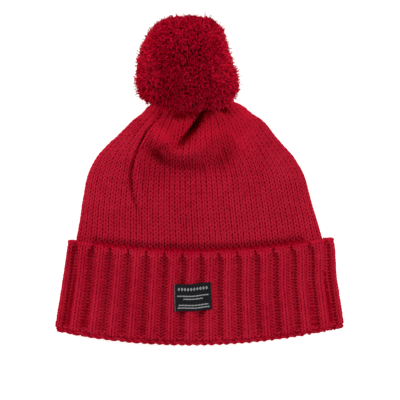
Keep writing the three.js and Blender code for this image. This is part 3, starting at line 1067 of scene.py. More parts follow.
@dataclass(frozen=True)
class JerseyFinish(WoolFinish):
    """The crown's wool, with a painted pool of light at the neck under the ball.

    The neck's places are metres: the painted light grows along the hat from neck_light_from to
    neck_light_to, and fades from neck_light_wide to twice that beside its middle.
    """

    neck_light_colour: Colour = (0.8, 0.009, 0.04)
    neck_light_share: float = 0.58
    neck_light_from: float = 0.01
    neck_light_to: float = 0.042
    neck_light_wide: float = 0.028

    def _lit(self, nodes: Nodes, along: object, around: object, colour: object) -> SocketPair:
        """Paints the highlight as in WoolFinish, and a pool of light at the neck."""
        bloom, colour = super()._lit(nodes, along, around, colour)
        across, upward = nodes.split(nodes.place())
        tight = nodes.ramp(upward, self.neck_light_from, self.neck_light_to, 0.0, self.neck_light_share)
        aside = nodes.math("ABSOLUTE", across)
        inner = nodes.ramp(aside, self.neck_light_wide, 2 * self.neck_light_wide, 1.0, 0.0)
        # neck is the painted pool of light.
        neck = nodes.math("MULTIPLY", tight, inner)
        return bloom, nodes.mix(neck, colour, self.neck_light_colour)


@dataclass(frozen=True)
class PileFinish(WoolFinish):
    """Cut yarn: random tones, painted shade towards the roots and a painted highlight on the sides.

    The sides' places are metres beside middle. Each swing is a noise's factor and what is added.
    """

    twist: float = 3.0
    plies: float = 2.0
    middle: float = 0.0
    side_from: float = 0.014
    side_to: float = 0.037
    side_highlight: float = 0.0
    clump_scale: float = 75.0
    clump_swing: Pair = (7.0, -3.8)
    strand_swing: Pair = (1.2, -0.45)
    root_shade_power: float = 1.4
    root_shade: float = 3.5
    side_root_shade: float = 2.6

    def _lit(self, nodes: Nodes, along: object, around: object, colour: object) -> SocketPair:
        """Gives strands and clumps random tones, and paints side highlights and shade towards the
        roots.
        """
        strand = nodes.add("TexWhiteNoise")
        strand.noise_dimensions = "1D"
        nodes.set(strand, W=nodes.math("FLOOR", around))
        place = nodes.place()
        side = nodes.away(nodes.split(place)[0], self.middle)
        # sides is a painted highlight on the ball's left and right sides.
        sides = nodes.ramp(side, self.side_from, self.side_to, 0.0, self.side_highlight)
        clump = nodes.noise(place, self.clump_scale, 1.0, 0.4)
        clump = nodes.math("MULTIPLY_ADD", clump, *self.clump_swing)
        bloom = nodes.math("MULTIPLY_ADD", strand.outputs[0], *self.strand_swing)
        bloom = nodes.math("MULTIPLY_ADD", nodes.math("ADD", bloom, clump), self.bloom, sides)
        # Painted shade towards each strand's root, less of it on the ball's sides.
        lifted = nodes.math("MULTIPLY", sides, self.side_root_shade)
        depth = nodes.math("SUBTRACT", self.root_shade, lifted)
        root = nodes.math("POWER", nodes.math("SUBTRACT", 1.0, along), self.root_shade_power)
        colour = nodes.mix(nodes.math("MULTIPLY", root, depth), colour, self.deep)
        return bloom, colour


@dataclass(frozen=True)
class GroundFinish:
    """The cloth behind the yarn, seen between the stitches and inside the hat."""

    name: str
    colour: Colour = (0.43, 0.0008, 0.014)
    deep: Colour = (0.15, 0.0001, 0.004)
    mottle: float = 0.4
    groove: float = 0.4
    wander: float = 0.22
    relief: float = 0.8

    def material(self) -> bpy.types.Material:
        """Builds the material.

        Returns:
            The material, with purl bumps that follow the UV map "cloth".
        """
        material, nodes, shader = new_material(self.name)
        across, upward = nodes.split(nodes.place("cloth"))
        course = nodes.math("MULTIPLY_ADD", nodes.wave(across), self.wander, upward)
        height = nodes.math("MULTIPLY_ADD", nodes.wave(course), 0.5, 0.5)
        # The low parts of the purl bumps get painted shade, towards deep.
        groove = nodes.math("MULTIPLY", nodes.math("SUBTRACT", 1.0, height), self.groove)
        shade = nodes.group(
            wool_shade_group(), Colour=self.colour, Deep=self.deep, Light=self.colour,
            Mottle=self.mottle, Groove=groove,
        )
        nodes.bump(shader, height, 0.9, self.relief)
        colour = shade.outputs["Colour"]
        nodes.set(shader, Base_Color=colour, Roughness=0.92, Specular_IOR_Level=0.02)
        return material


class LabelThread(Enum):
    """The threads that the label is woven of and sewn with; colours are linear."""

    GROUND = (0.0095, 0.0098, 0.0135)
    GROUND_LIT = (0.021, 0.021, 0.028)
    GROUND_WORN = (0.006, 0.006, 0.009)
    FIGURE = (0.56, 0.56, 0.58)
    FIGURE_LOW = (0.3, 0.3, 0.32)
    SEWING = (0.010, 0.012, 0.015)
    PALE = (0.55, 0.33, 0.36)

    def dim(self, share: float) -> Colour:
        """A darker share of the colour."""
        return tuple(share * part for part in self.value)


@dataclass(frozen=True)
class WovenFinish:
    """A woven label: black satin with rows of small pale diamonds and dashes.

    Heights and margins are shares of the label's own, and counts fill its width. A row of dashes
    is its height and its margin.
    """

    name: str = "black_weave"
    ends: float = 150.0
    picks: float = 120.0
    wear_scale: Triple = (9.0, 60.0, 1.0)
    diamonds: float = 12.0
    diamond_row: float = 0.81
    diamond_half: float = 0.062
    diamond_narrow: float = 2.6
    diamond_hollow: float = 0.42
    dashes: float = 26.0
    dash_share: float = 0.66
    dash_half: float = 0.02
    dash_rows: tuple[Pair, ...] = ((0.56, 0.07), (0.45, 0.24), (0.22, 0.1), (0.12, 0.07))

    def material(self) -> bpy.types.Material:
        """Builds the material, on the UV map "cloth", which goes from 0 to 1 across the label."""
        material, nodes, shader = new_material(self.name)
        place = nodes.place("cloth")
        u, v = nodes.split(place)
        warp = nodes.math("PINGPONG", nodes.math("MULTIPLY", u, self.ends), 1.0)
        weft = nodes.math("PINGPONG", nodes.math("MULTIPLY", v, self.picks), 1.0)
        thread = nodes.math("MULTIPLY", warp, weft)
        figure = self._diamonds(nodes, u, v)
        for height, margin in self.dash_rows:
            figure = nodes.math("MAXIMUM", figure, self._dashes(nodes, u, v, height, margin))
        stretched = nodes.add("Mapping", Vector=place, Scale=self.wear_scale)
        worn = nodes.math("MULTIPLY", nodes.noise(stretched.outputs[0], 1.0, 3.0), 0.6)
        lit = nodes.math("MULTIPLY", thread, 0.5)
        dark = nodes.mix(lit, LabelThread.GROUND.value, LabelThread.GROUND_LIT.value)
        dark = nodes.mix(worn, dark, LabelThread.GROUND_WORN.value)
        lit = nodes.math("MULTIPLY", thread, 0.4)
        pale = nodes.mix(lit, LabelThread.FIGURE.value, LabelThread.FIGURE_LOW.value)
        colour = nodes.mix(figure, dark, pale)
        nodes.bump(shader, nodes.math("MULTIPLY_ADD", figure, 0.6, thread), 0.6, 0.1)
        nodes.set(shader, Base_Color=colour, Roughness=0.62, Specular_IOR_Level=0.15)
        return material

    def _inside(self, nodes: Nodes, u: object, margin: float) -> object:
        """A mask that keeps clear of the label's left and right edges."""
        return nodes.math("LESS_THAN", nodes.away(u, 0.5), 0.5 - margin)

    def _dashes(self, nodes: Nodes, u: object, v: object, middle: float, margin: float) -> object:
        """A row of even dashes at a height, that ends at a margin from both edges."""
        wave = nodes.math("FRACT", nodes.math("MULTIPLY", u, self.dashes))
        dash = nodes.math("LESS_THAN", wave, self.dash_share)
        band = nodes.math("LESS_THAN", nodes.away(v, middle), self.dash_half)
        row = nodes.math("MULTIPLY", dash, band)
        return nodes.math("MULTIPLY", row, self._inside(nodes, u, margin))

    def _diamonds(self, nodes: Nodes, u: object, v: object) -> object:
        """A row of small hollow diamonds, as a mask."""
        cell = nodes.away(nodes.math("FRACT", nodes.math("MULTIPLY", u, self.diamonds)), 0.5)
        across = nodes.math("MULTIPLY", cell, self.diamond_narrow)
        upward = nodes.math("DIVIDE", nodes.away(v, self.diamond_row), self.diamond_half)
        reach = nodes.math("ADD", across, upward)
        row = nodes.math("LESS_THAN", reach, 1.0)
        hollow = nodes.math("GREATER_THAN", reach, self.diamond_hollow)
        ring = nodes.math("MULTIPLY", row, hollow)
        return nodes.math("MULTIPLY", ring, self._inside(nodes, u, 1.0 / self.diamonds))


@dataclass(frozen=True)
class ThreadFinish:
    """Smooth sewing thread."""

    name: str
    thread: LabelThread
    grain_scale: float = 4000.0
    low: float = 0.6

    def material(self) -> bpy.types.Material:
        """Builds the material, with a fine twist on Object coordinates."""
        material, nodes, shader = new_material(self.name)
        grain = nodes.noise(nodes.place(), self.grain_scale, 1.0)
        colour = nodes.mix(grain, self.thread.dim(self.low), self.thread.value)
        nodes.bump(shader, grain, 0.5, 0.05)
        nodes.set(shader, Base_Color=colour, Roughness=0.6)
        return material


@dataclass(frozen=True)
class FloorFinish:
    """A plain pale floor, with a glow that keeps it nearly white."""

    name: str = "pale_floor"
    low: Colour = (0.9, 0.9, 0.905)
    high: Colour = (0.93, 0.93, 0.93)
    glow: float = 0.76

    def material(self) -> bpy.types.Material:
        """Builds the material."""
        material, nodes, shader = new_material(self.name)
        tone = nodes.noise(nodes.place(), 0.8, 1.0)
        nodes.set(
            shader, Base_Color=nodes.mix(tone, self.low, self.high), Roughness=0.95,
            Specular_IOR_Level=0.1, Emission_Color=(1, 1, 1), Emission_Strength=self.glow,
        )
        return material


# Knitting


class Loop(Enum):
    """Which way a loop is drawn: towards the one who looks at it, or away."""

    KNIT = 1.0
    PURL = -1.0


@dataclass(frozen=True)
class StitchShape:
    """How one loop of yarn lies. Sizes are millimetres, wale widths or row heights.

    From share_from, a share of a wale beside its middle, the yarn starts to follow the wale
    beside it. squeeze is between which shares of its radius it stays where wales are narrow.
    """

    course: float = 3.0
    steps: int = 10
    sides: int = 5
    yarn_radius: float = 1.14
    nominal_wale: float = 4.6
    overhang: float = 0.26
    draw: float = 0.026
    reach: float = 1.8
    swing: float = 0.55
    depth: float = 1.45
    unevenness: float = 0.09
    lift: float = 0.14
    share_from: float = 0.28
    squeeze: Pair = (0.72, 1.1)


@dataclass
class Knitting:
    """Rows of loops on a face of the cloth."""

    face: ClothFace
    stitch: StitchShape
    seed: int

    def lay(
        self, parts: MeshParts, along: np.ndarray, edges: np.ndarray, kinds: np.ndarray
    ) -> None:
        """Lays closed rows of loops, each a single yarn.

        Args:
            parts: Where the yarn's mesh goes.
            along: The middle of each row, along the face.
            edges: For each row, the shares of the way round at which its wales begin, and the end.
            kinds: 1 for each wale of knit loops and -1 for each of purl loops.
        """
        stitch, random = self.stitch, np.random.default_rng(self.seed)
        rows, wales = len(along), len(kinds)
        steps = wales * stitch.steps
        tau = np.arange(steps) / stitch.steps
        phase = FULL_TURN * tau
        wale = tau.astype(int)
        inside = tau - wale
        beside = np.where(inside < 0.5, wale - 1, (wale + 1) % wales)
        share_of = 0.5 * smooth_step(stitch.share_from, 0.5, np.abs(inside - 0.5))
        kind = kinds[wale] * (1 - share_of) + kinds[beside] * share_of
        width_of = 1 + stitch.unevenness * random.normal(size=(rows, wales))
        height_of = 1 + stitch.unevenness * random.normal(size=(rows, wales))
        lift = stitch.lift * random.normal(size=(rows, wales))
        ease = np.sin(math.pi * inside) ** 2
        lean = tau + stitch.overhang * np.sin(2 * phase) * width_of[:, wale]
        lean = lean + kinds[wale] * stitch.draw * np.sin(phase)
        marks = np.arange(-2, wales + 3)
        share = np.empty((rows, steps))
        for row in range(rows):
            before, after = edges[row, -3:-1] - 1, edges[row, 1:3] + 1
            share[row] = np.interp(lean[row], marks, np.concatenate([before, edges[row], after]))
        tall = stitch.reach * stitch.course / 2 * (1 + (height_of[:, wale] - 1) * ease)
        height = along[:, None] - tall * np.cos(phase)
        swing = -kind * stitch.swing * np.cos(2 * phase)
        out = -stitch.depth + swing + lift[:, wale] * ease
        middle = self.face.place(share, height, out)
        normal = self.face.normal(share, height)
        local = self.face.width(share, height) * (edges[:, -1:] - edges[:, :1])
        spread = np.diff(edges, axis=1)[:, wale] * wales
        wide = local * spread / wales / stitch.nominal_wale
        radius = stitch.yarn_radius * np.clip(np.sqrt(wide), *stitch.squeeze)
        radius = radius * (1 + 0.5 * stitch.unevenness * random.normal(size=(rows, 1)))
        add_yarn(parts, middle, normal, radius, stitch.sides, random)


def add_yarn(
    parts: MeshParts, middle: np.ndarray, normal: np.ndarray, radius: np.ndarray, sides: int,
    random: np.random.Generator,
) -> None:
    """Gives closed centre lines the thickness of yarn.

    Args:
        parts: Where the mesh goes.
        middle: The lines' points, as lines, steps and axes, in metres.
        normal: The direction out of the cloth at each point.
        radius: The yarn's radius at each point, in millimetres.
        sides: How many sides the yarn has.
        random: The source of where each yarn's twist begins.
    """
    lines, steps = middle.shape[:2]
    tangent = unit(np.roll(middle, -1, axis=1) - np.roll(middle, 1, axis=1))
    side = unit(np.cross(tangent, normal))
    pattern = ring_pattern(steps, sides)
    reach = radius[:, pattern.places[:, 0]] * MM
    points = round_section(pattern, sides, middle, (side, np.cross(side, tangent)), reach)
    pace = np.linalg.norm(np.roll(middle, -1, axis=1) - middle, axis=2) / MM
    length = np.concatenate([np.zeros((lines, 1)), np.cumsum(pace, axis=1)], axis=1)
    place = np.round(pattern.uv[:, 0] * steps).astype(int)
    whole = np.round(length[:, -1:])
    along = length[:, place] * whole / length[:, -1:] + random.integers(0, 50, (lines, 1))
    around = np.broadcast_to(pattern.uv[:, 1], along.shape)
    parts.add(pattern, points, np.stack([along, around], axis=-1))


def round_section(
    pattern: Pattern, sides: int, lines: np.ndarray, ways: tuple[np.ndarray, np.ndarray],
    radius: np.ndarray,
) -> np.ndarray:
    """Gives centre lines a round section.

    Args:
        pattern: The shape, whose places are a step of the line and a side.
        sides: How many sides the section has.
        lines: The lines' points, as lines, steps and axes.
        ways: Two directions across the lines, at each point.
        radius: The radius for each line and each vertex of the shape.

    Returns:
        Each line's vertices, in the shape's own order.
    """
    step, turn = pattern.places[:, 0], FULL_TURN * pattern.places[:, 1] / sides
    across, upward = (way[:, step] for way in ways)
    offset = np.cos(turn)[:, None] * across + np.sin(turn)[:, None] * upward
    return lines[:, step] + offset * radius[..., None]


def even_edges(rows: int, wales: int, start: float) -> np.ndarray:
    """Shares of the way round at which even wales begin, for each row, with the end."""
    return np.tile(start + np.arange(wales + 1) / wales, (rows, 1))


# Pieces


@dataclass
class Crown:
    """The jersey crown, gathered at its tip.

    narrowings and end are shares of the body's length, where bands of fewer wales begin and
    where the knitting ends, and parts_meet is where its two pieces meet.
    """

    form: HatForm
    stitch: StitchShape = StitchShape()
    wales: tuple[int, ...] = (88, 66, 44)
    narrowings: tuple[float, ...] = (0.765, 0.885)
    end: float = 0.985
    parts_meet: float = 0.56
    join_gap: float = 0.6
    merge_rows: int = 6
    seed: int = 3
    columns: int = 1440
    rows: int = 280
    ground_columns: int = 220
    ground_rows: int = 44
    ground_margins: Pair = (0.5, 0.4)
    ground_depth: float = 0.85
    ground_wall: float = 0.9

    def __post_init__(self) -> None:
        """Lays out the crown's outer face."""
        form = self.form
        length = form.body_length
        self.start = form.cuff_height - form.band_shortfall + self.join_gap
        along = np.linspace(self.start, length, self.rows)
        up = along / length
        share = np.arange(self.columns) / self.columns
        relief = form.gather_relief(up, share)
        points = form.rings(up, np.zeros_like(up), self.columns, relief=relief)
        self.face = ClothFace(points, along, 1.0)

    def ground(self) -> bpy.types.Object:
        """Builds the thin cloth behind the yarn.

        Returns:
            The closed shell.
        """
        first, last = self.ground_margins
        ends = self.start + first, self.form.body_length - last
        along = np.linspace(*ends, self.ground_rows + 1)
        out = (-self.ground_depth, -self.ground_depth - self.ground_wall)
        stitches = (self.wales[0], self.stitch.course)
        columns = self.ground_columns
        return cloth_shell("crown_ground", self.face, columns, along, out, stitches, True)

    def _edges(self, count: int, wales: int, fewer: int | None) -> np.ndarray:
        """Places the wales of a band of rows, of which some merge at its far end.

        Args:
            count: How many rows the band has.
            wales: How many wales it has.
            fewer: How many the next band has, or None at the tip.

        Returns:
            The shares at which the wales begin, for each row.
        """
        edges = even_edges(count, wales, 0.0)
        if fewer is None:
            return edges
        group = wales // (wales - fewer)
        inside = np.arange(wales + 1) % group
        start = np.arange(wales + 1) // group * (group - 1)
        merged = np.where(inside == group - 1, inside - 0.5, inside)
        target = (start + merged) / fewer
        rows = np.arange(count) - (count - 1 - self.merge_rows)
        share = smooth_step(0, self.merge_rows, rows)[:, None]
        return edges * (1 - share) + target[None] * share

    def _limits(self, first: float) -> list[float]:
        """Where the bands of equal wales begin, in millimetres, and where the last one ends."""
        return [first, *(share * self.form.body_length for share in (*self.narrowings, self.end))]

    def knit(self) -> list[bpy.types.Object]:
        """Lays the crown's yarn.

        Returns:
            The lower and the upper part of the knitting.
        """
        course = self.stitch.course
        limits = self._limits(self.start + course)
        knitting = Knitting(self.face, self.stitch, self.seed)
        lower, upper = MeshParts(), MeshParts()
        at = limits[0]
        for band, wales in enumerate(self.wales):
            along = np.arange(at, limits[band + 1], course)
            at = along[-1] + course
            fewer = self.wales[band + 1] if band + 1 < len(self.wales) else None
            edges = self._edges(len(along), wales, fewer)
            kinds = np.full(wales, Loop.KNIT.value)
            split = along < self.parts_meet * self.form.body_length
            for parts, rows in ((lower, split), (upper, ~split)):
                if rows.any():
                    knitting.seed += 1
                    knitting.lay(parts, along[rows], edges[rows], kinds)
        return [lower.piece("crown_knit_lower"), upper.piece("crown_knit_upper")]

    def build(self) -> None:
        """Builds the crown's pieces and dresses them."""
        # The crown's finish paints a highlight on each yarn's outer side and a pool of light at the
        # neck.
        wool = JerseyFinish("red_wool_jersey", colour=(0.41, 0.001, 0.015), bloom=0.78).material()
        ground = self.ground()
        ground.data.materials.append(GroundFinish("red_jersey_inside").material())
        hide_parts("crown")
        knit = self.knit()
        for piece in knit:
            piece.data.materials.append(wool)
        for piece in (ground, *knit):
            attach(piece, "root")
            LOG.info("%s: %d triangles", piece.name, triangles(piece))


@dataclass(frozen=True)
class Rope:
    """Two yarns twisted about each other: their turns round the hat, and sizes in millimetres."""

    turns: int
    radius: float
    yarn: float
    out: float
    flatness: float = 0.9
    steps: int = 10
    sides: int = 6


@dataclass
class Cuff:
    """The ribbed band, turned up once, so that it lies double.

    Depths of the ribs are shares of rib_valley, and fold_depth is the one at the fold's middle
    and what its sides have more. A valley's places are shares of a rib's width, and edge_narrow
    is the length over which valleys narrow towards the free edge, and to which share. The turns
    are radians round the fold, and rope_angle is degrees.
    """

    form: HatForm
    stitch: StitchShape = StitchShape(
        course=2.5, nominal_wale=4.9, yarn_radius=1.06, draw=0.0, depth=1.4
    )
    inner_stitch: StitchShape = StitchShape(
        course=2.6, steps=8, sides=4, yarn_radius=1.1, depth=1.3
    )
    rib_valley: float = 4.0
    valley_from: float = 0.165
    valley_to: float = 0.335
    ridge_round: float = 1.1
    wales_per_rib: int = 3
    edge_depth: float = 0.3
    edge_fade: float = 3.0
    edge_margin: float = 0.4
    edge_narrow: Pair = (9.0, 0.3)
    fold_depth: Pair = (0.1, 0.5)
    fold_fade: float = 4.0
    inside_depth: float = 0.5
    inside_from: float = 5.0
    fold_flatness: float = 0.85
    columns: int = 1488
    step: float = 0.5
    edge_rings: int = 16
    fold_rings: int = 30
    fold_gap: float = 0.2
    knit_from: float = 1.0
    outside_turn: float = 0.45
    inside_turn: float = 1.75
    inner_rows: int = 9
    seeds: tuple[int, int] = (20, 30)
    bottom_rope: Rope = Rope(turns=39, radius=1.3, yarn=1.2, out=0.7)
    rope_angle: float = 58.0
    top_rope: Rope = Rope(turns=84, radius=0.8, yarn=0.9, out=0.0)
    top_rope_at: float = 6.3
    ground_from: float = 6.2
    ground_out: Pair = (-1.1, -2.0)
    ground_columns: int = 248
    ground_rows: tuple[int, int, int] = (18, 9, 14)

    def __post_init__(self) -> None:
        """Lays out the cuff's visible face, from its free edge round the fold to its inside."""
        form = self.form
        self.outer = form.cuff_stack
        self.fold_radius = (form.band_wall + self.outer) / 2
        edge_radius = form.turn_up_wall / 2
        turn = np.linspace(-0.5 * math.pi, 0.5 * math.pi, self.edge_rings)
        edge_middle = form.cuff_height - edge_radius
        rise = [edge_middle + edge_radius * np.cos(turn)]
        out = [self.outer - edge_radius + edge_radius * np.sin(turn)]
        rise.append(np.arange(edge_middle - self.step, self.fold_gap, -self.step))
        out.append(np.full(len(rise[-1]), self.outer))
        turn = np.linspace(0, math.pi, self.fold_rings)
        rise.append(-self.fold_radius * self.fold_flatness * np.sin(turn))
        out.append(self.outer - self.fold_radius * (1 - np.cos(turn)))
        inside_end = form.cuff_height - form.band_shortfall
        rise.append(np.arange(self.step, inside_end, self.step))
        out.append(np.full(len(rise[-1]), -form.band_wall))
        self.fold_at = len(rise[0]) + len(rise[1])
        self.inside_at = self.fold_at + len(rise[2])
        height, outward = np.concatenate(rise), np.concatenate(out)
        along = np.concatenate([[0], np.cumsum(np.hypot(np.diff(height), np.diff(outward)))])
        self.ribs = self._rib_depths(height, outward)
        points = self._rings(height, outward)
        self.face = ClothFace(points, along, -1.0)
        self.height = height

    def _rib_depths(self, height: np.ndarray, outward: np.ndarray) -> np.ndarray:
        """How deep the ribs are along the face, from 0 to 1."""
        top = self.form.cuff_height
        faded = smooth_step(top - self.edge_fade, top - self.edge_margin, height)
        depth = self.edge_depth + (1 - self.edge_depth) * (1 - faded)
        least, more = self.fold_depth
        fold = least + more * np.abs(outward - self.outer + self.fold_radius) / self.fold_radius
        ease = smooth_step(0, self.fold_fade, height)
        depth = np.where(height < self.fold_fade, fold + (depth - fold) * ease, depth)
        inside = (outward <= self.outer - self.fold_radius) & (height < top - self.inside_from)
        return np.where(inside, np.minimum(depth, self.inside_depth), depth)

    def rib_phase(self, share: np.ndarray) -> np.ndarray:
        """Places across a rib by their share of the way round, from -0.5 to 0.5.

        Zero is the middle of the valley between two ridges.
        """
        return np.mod((share - 0.5) * self.form.rib_count + 0.5, 1) - 0.5

    def valley(self, away: np.ndarray) -> np.ndarray:
        """How much of the valley's depth some places have, by how far they are from its middle."""
        return 1 - smooth_step(self.valley_from, self.valley_to, away)

    def _rings(self, height: np.ndarray, outward: np.ndarray) -> np.ndarray:
        """Places the face's rings.

        Args:
            height: The rings' heights above the opening's corners, below zero in the fold.
            outward: How far each stands out from the inner band.

        Returns:
            The points in metres.
        """
        form = self.form
        up = np.maximum(height, 0) / form.body_length
        flare = smooth_step(form.cuff_top * 0.5, form.cuff_top, up) * (outward > 0)
        share = np.arange(self.columns) / self.columns
        phase = self.rib_phase(share)
        below = form.cuff_height - self.edge_fade / 2 - height
        over, least = self.edge_narrow
        narrow = np.clip(np.sqrt(np.maximum(below, 0) / over), least, 1)
        wide = np.where(outward > 0, narrow, 1)
        valley = self.valley(np.abs(phase)[None] / wide[:, None])
        valley = valley + self.ridge_round / self.rib_valley * (1 - 2 * np.abs(phase)) ** 2
        return form.rings(
            up,
            outward + flare * form.cuff_flare,
            self.columns,
            drop=np.maximum(-height, 0),
            aside=flare * form.cuff_aside,
            rest=np.maximum(self.outer - outward, 0),
            relief=-self.rib_valley * self.ribs[:, None] * valley,
        )

    def _wales(self, rows: int) -> tuple[np.ndarray, np.ndarray]:
        """The wales of the ribs: their edges for each row, and which are purled."""
        wales = self.form.rib_count * self.wales_per_rib
        kinds = np.full(wales, Loop.KNIT.value)
        kinds[:: self.wales_per_rib] = Loop.PURL.value
        return even_edges(rows, wales, 0.5 - 0.5 / wales), kinds

    def _on_fold(self, angle: float) -> float:
        """Where an angle of the fold, in radians, lies along the face."""
        ends = self.face.along[[self.fold_at, self.inside_at - 1]]
        return np.interp(angle, [0, math.pi], ends)

    def knit(self) -> list[bpy.types.Object]:
        """Lays the cuff's yarn.

        Returns:
            The upper and lower part of its outside, and the part of its inside near the opening.
        """
        outside = np.arange(self.knit_from, self._on_fold(self.outside_turn), self.stitch.course)
        upper, lower, inner = MeshParts(), MeshParts(), MeshParts()
        halfway = len(outside) // 2
        outer_seed, inner_seed = self.seeds
        knitting = Knitting(self.face, self.stitch, outer_seed)
        for parts, rows in ((upper, outside[:halfway]), (lower, outside[halfway:])):
            edges, kinds = self._wales(len(rows))
            knitting.seed += 1
            knitting.lay(parts, rows, edges, kinds)
        begin = self._on_fold(self.inside_turn)
        inside = begin + self.inner_stitch.course * np.arange(self.inner_rows)
        edges, kinds = self._wales(len(inside))
        Knitting(self.face, self.inner_stitch, inner_seed).lay(inner, inside, edges, kinds)
        names = ("cuff_knit_upper", "cuff_knit_lower", "cuff_knit_inside")
        return [parts.piece(name) for parts, name in zip((upper, lower, inner), names)]

    def twisted(self, name: str, rope: Rope, middle: float) -> bpy.types.Object:
        """Twists two yarns round the band.

        Args:
            name: The piece's name.
            rope: Their sizes.
            middle: Where they lie along the cuff's face.

        Returns:
            The twisted edge.
        """
        steps = rope.turns * rope.steps
        share = np.arange(steps) / steps
        lines, normals = [], []
        for start in (0.0, math.pi):
            turn = FULL_TURN * rope.turns * share + start
            height = middle + rope.radius * np.cos(turn)
            out = rope.out - rope.yarn + rope.radius * np.sin(turn) * rope.flatness
            lines.append(self.face.place(share, height, out))
            normals.append(self.face.normal(share, height))
        parts = MeshParts()
        radius = np.full((2, steps), rope.yarn)
        random = np.random.default_rng(rope.turns)
        add_yarn(parts, np.stack(lines), np.stack(normals), radius, rope.sides, random)
        return parts.piece(name)

    def edges(self) -> list[bpy.types.Object]:
        """Makes the twisted yarns along the band's turn and along its free edge.

        Returns:
            The bottom and the top edge.
        """
        turn = self._on_fold(math.radians(self.rope_angle))
        return [
            self.twisted("cuff_bottom_edge", self.bottom_rope, turn),
            self.twisted("cuff_top_edge", self.top_rope, self.top_rope_at),
        ]

    def ground(self) -> bpy.types.Object:
        """Builds the cloth behind the yarn, folded as the band is.

        Returns:
            The closed double band.
        """
        along = self.face.along
        outer_rows, fold_rows, inner_rows = self.ground_rows
        outside = np.linspace(self.ground_from, along[self.fold_at], outer_rows)
        fold = np.linspace(along[self.fold_at], along[self.inside_at], fold_rows)[1:]
        inside = np.linspace(along[self.inside_at], along[-1], inner_rows)[1:]
        rows = np.concatenate([outside, fold, inside])
        stitches = (self.form.rib_count * self.wales_per_rib, self.stitch.course)
        return cloth_shell(
            "cuff_ground", self.face, self.ground_columns, rows, self.ground_out, stitches, False
        )

    def build(self) -> None:
        """Builds the cuff's pieces and dresses them."""
        # The rib's wool is set lighter than the crown's, though it is one yarn: painted light on
        # the cuff. bloom paints a highlight on each yarn's outer side.
        wool = WoolFinish("red_wool_rib", colour=(0.45, 0.0013, 0.017), bloom=0.88).material()
        ground = self.ground()
        ground.data.materials.append(GroundFinish("red_rib_inside").material())
        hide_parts("cuff")
        bottom, top = self.edges()
        # The free edge's wool is a lighter copy of the rib's: painted light on the edge, which lies
        # in shade.
        edge = WoolFinish("red_wool_edge_painted_light", colour=(0.6, 0.003, 0.03)).material()
        top.data.materials.append(edge)
        yarn = [*self.knit(), bottom]
        for piece in yarn:
            piece.data.materials.append(wool)
        for piece in (ground, *yarn, top):
            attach(piece, "root")
            LOG.info("%s: %d triangles", piece.name, triangles(piece))


@dataclass(frozen=True)
class Strands:
    """A crowd of yarn ends in the ball.

    Sizes are millimetres: inner is how deep in the ball they begin, and outer is how far beyond
    its form they end on average, and how much that varies. tilt is how far they lean, as a share
    of their length, and curl is a second lean, as a share of that. flare is their thickness at
    the root and at the tip, and dome is how far the tip's middle stands out.
    """

    count: int
    radius: float
    seed: int
    inner: float
    outer: Pair
    tilt: float
    sides: int = 3
    spread: float = 0.5
    curl: float = 0.8
    unevenness: float = 0.16
    flare: Pair = (0.7, 1.0)
    dome: float = 0.7
    room_left: float = 1.0
    least: float = 2.0
    floor_share: float = 0.6


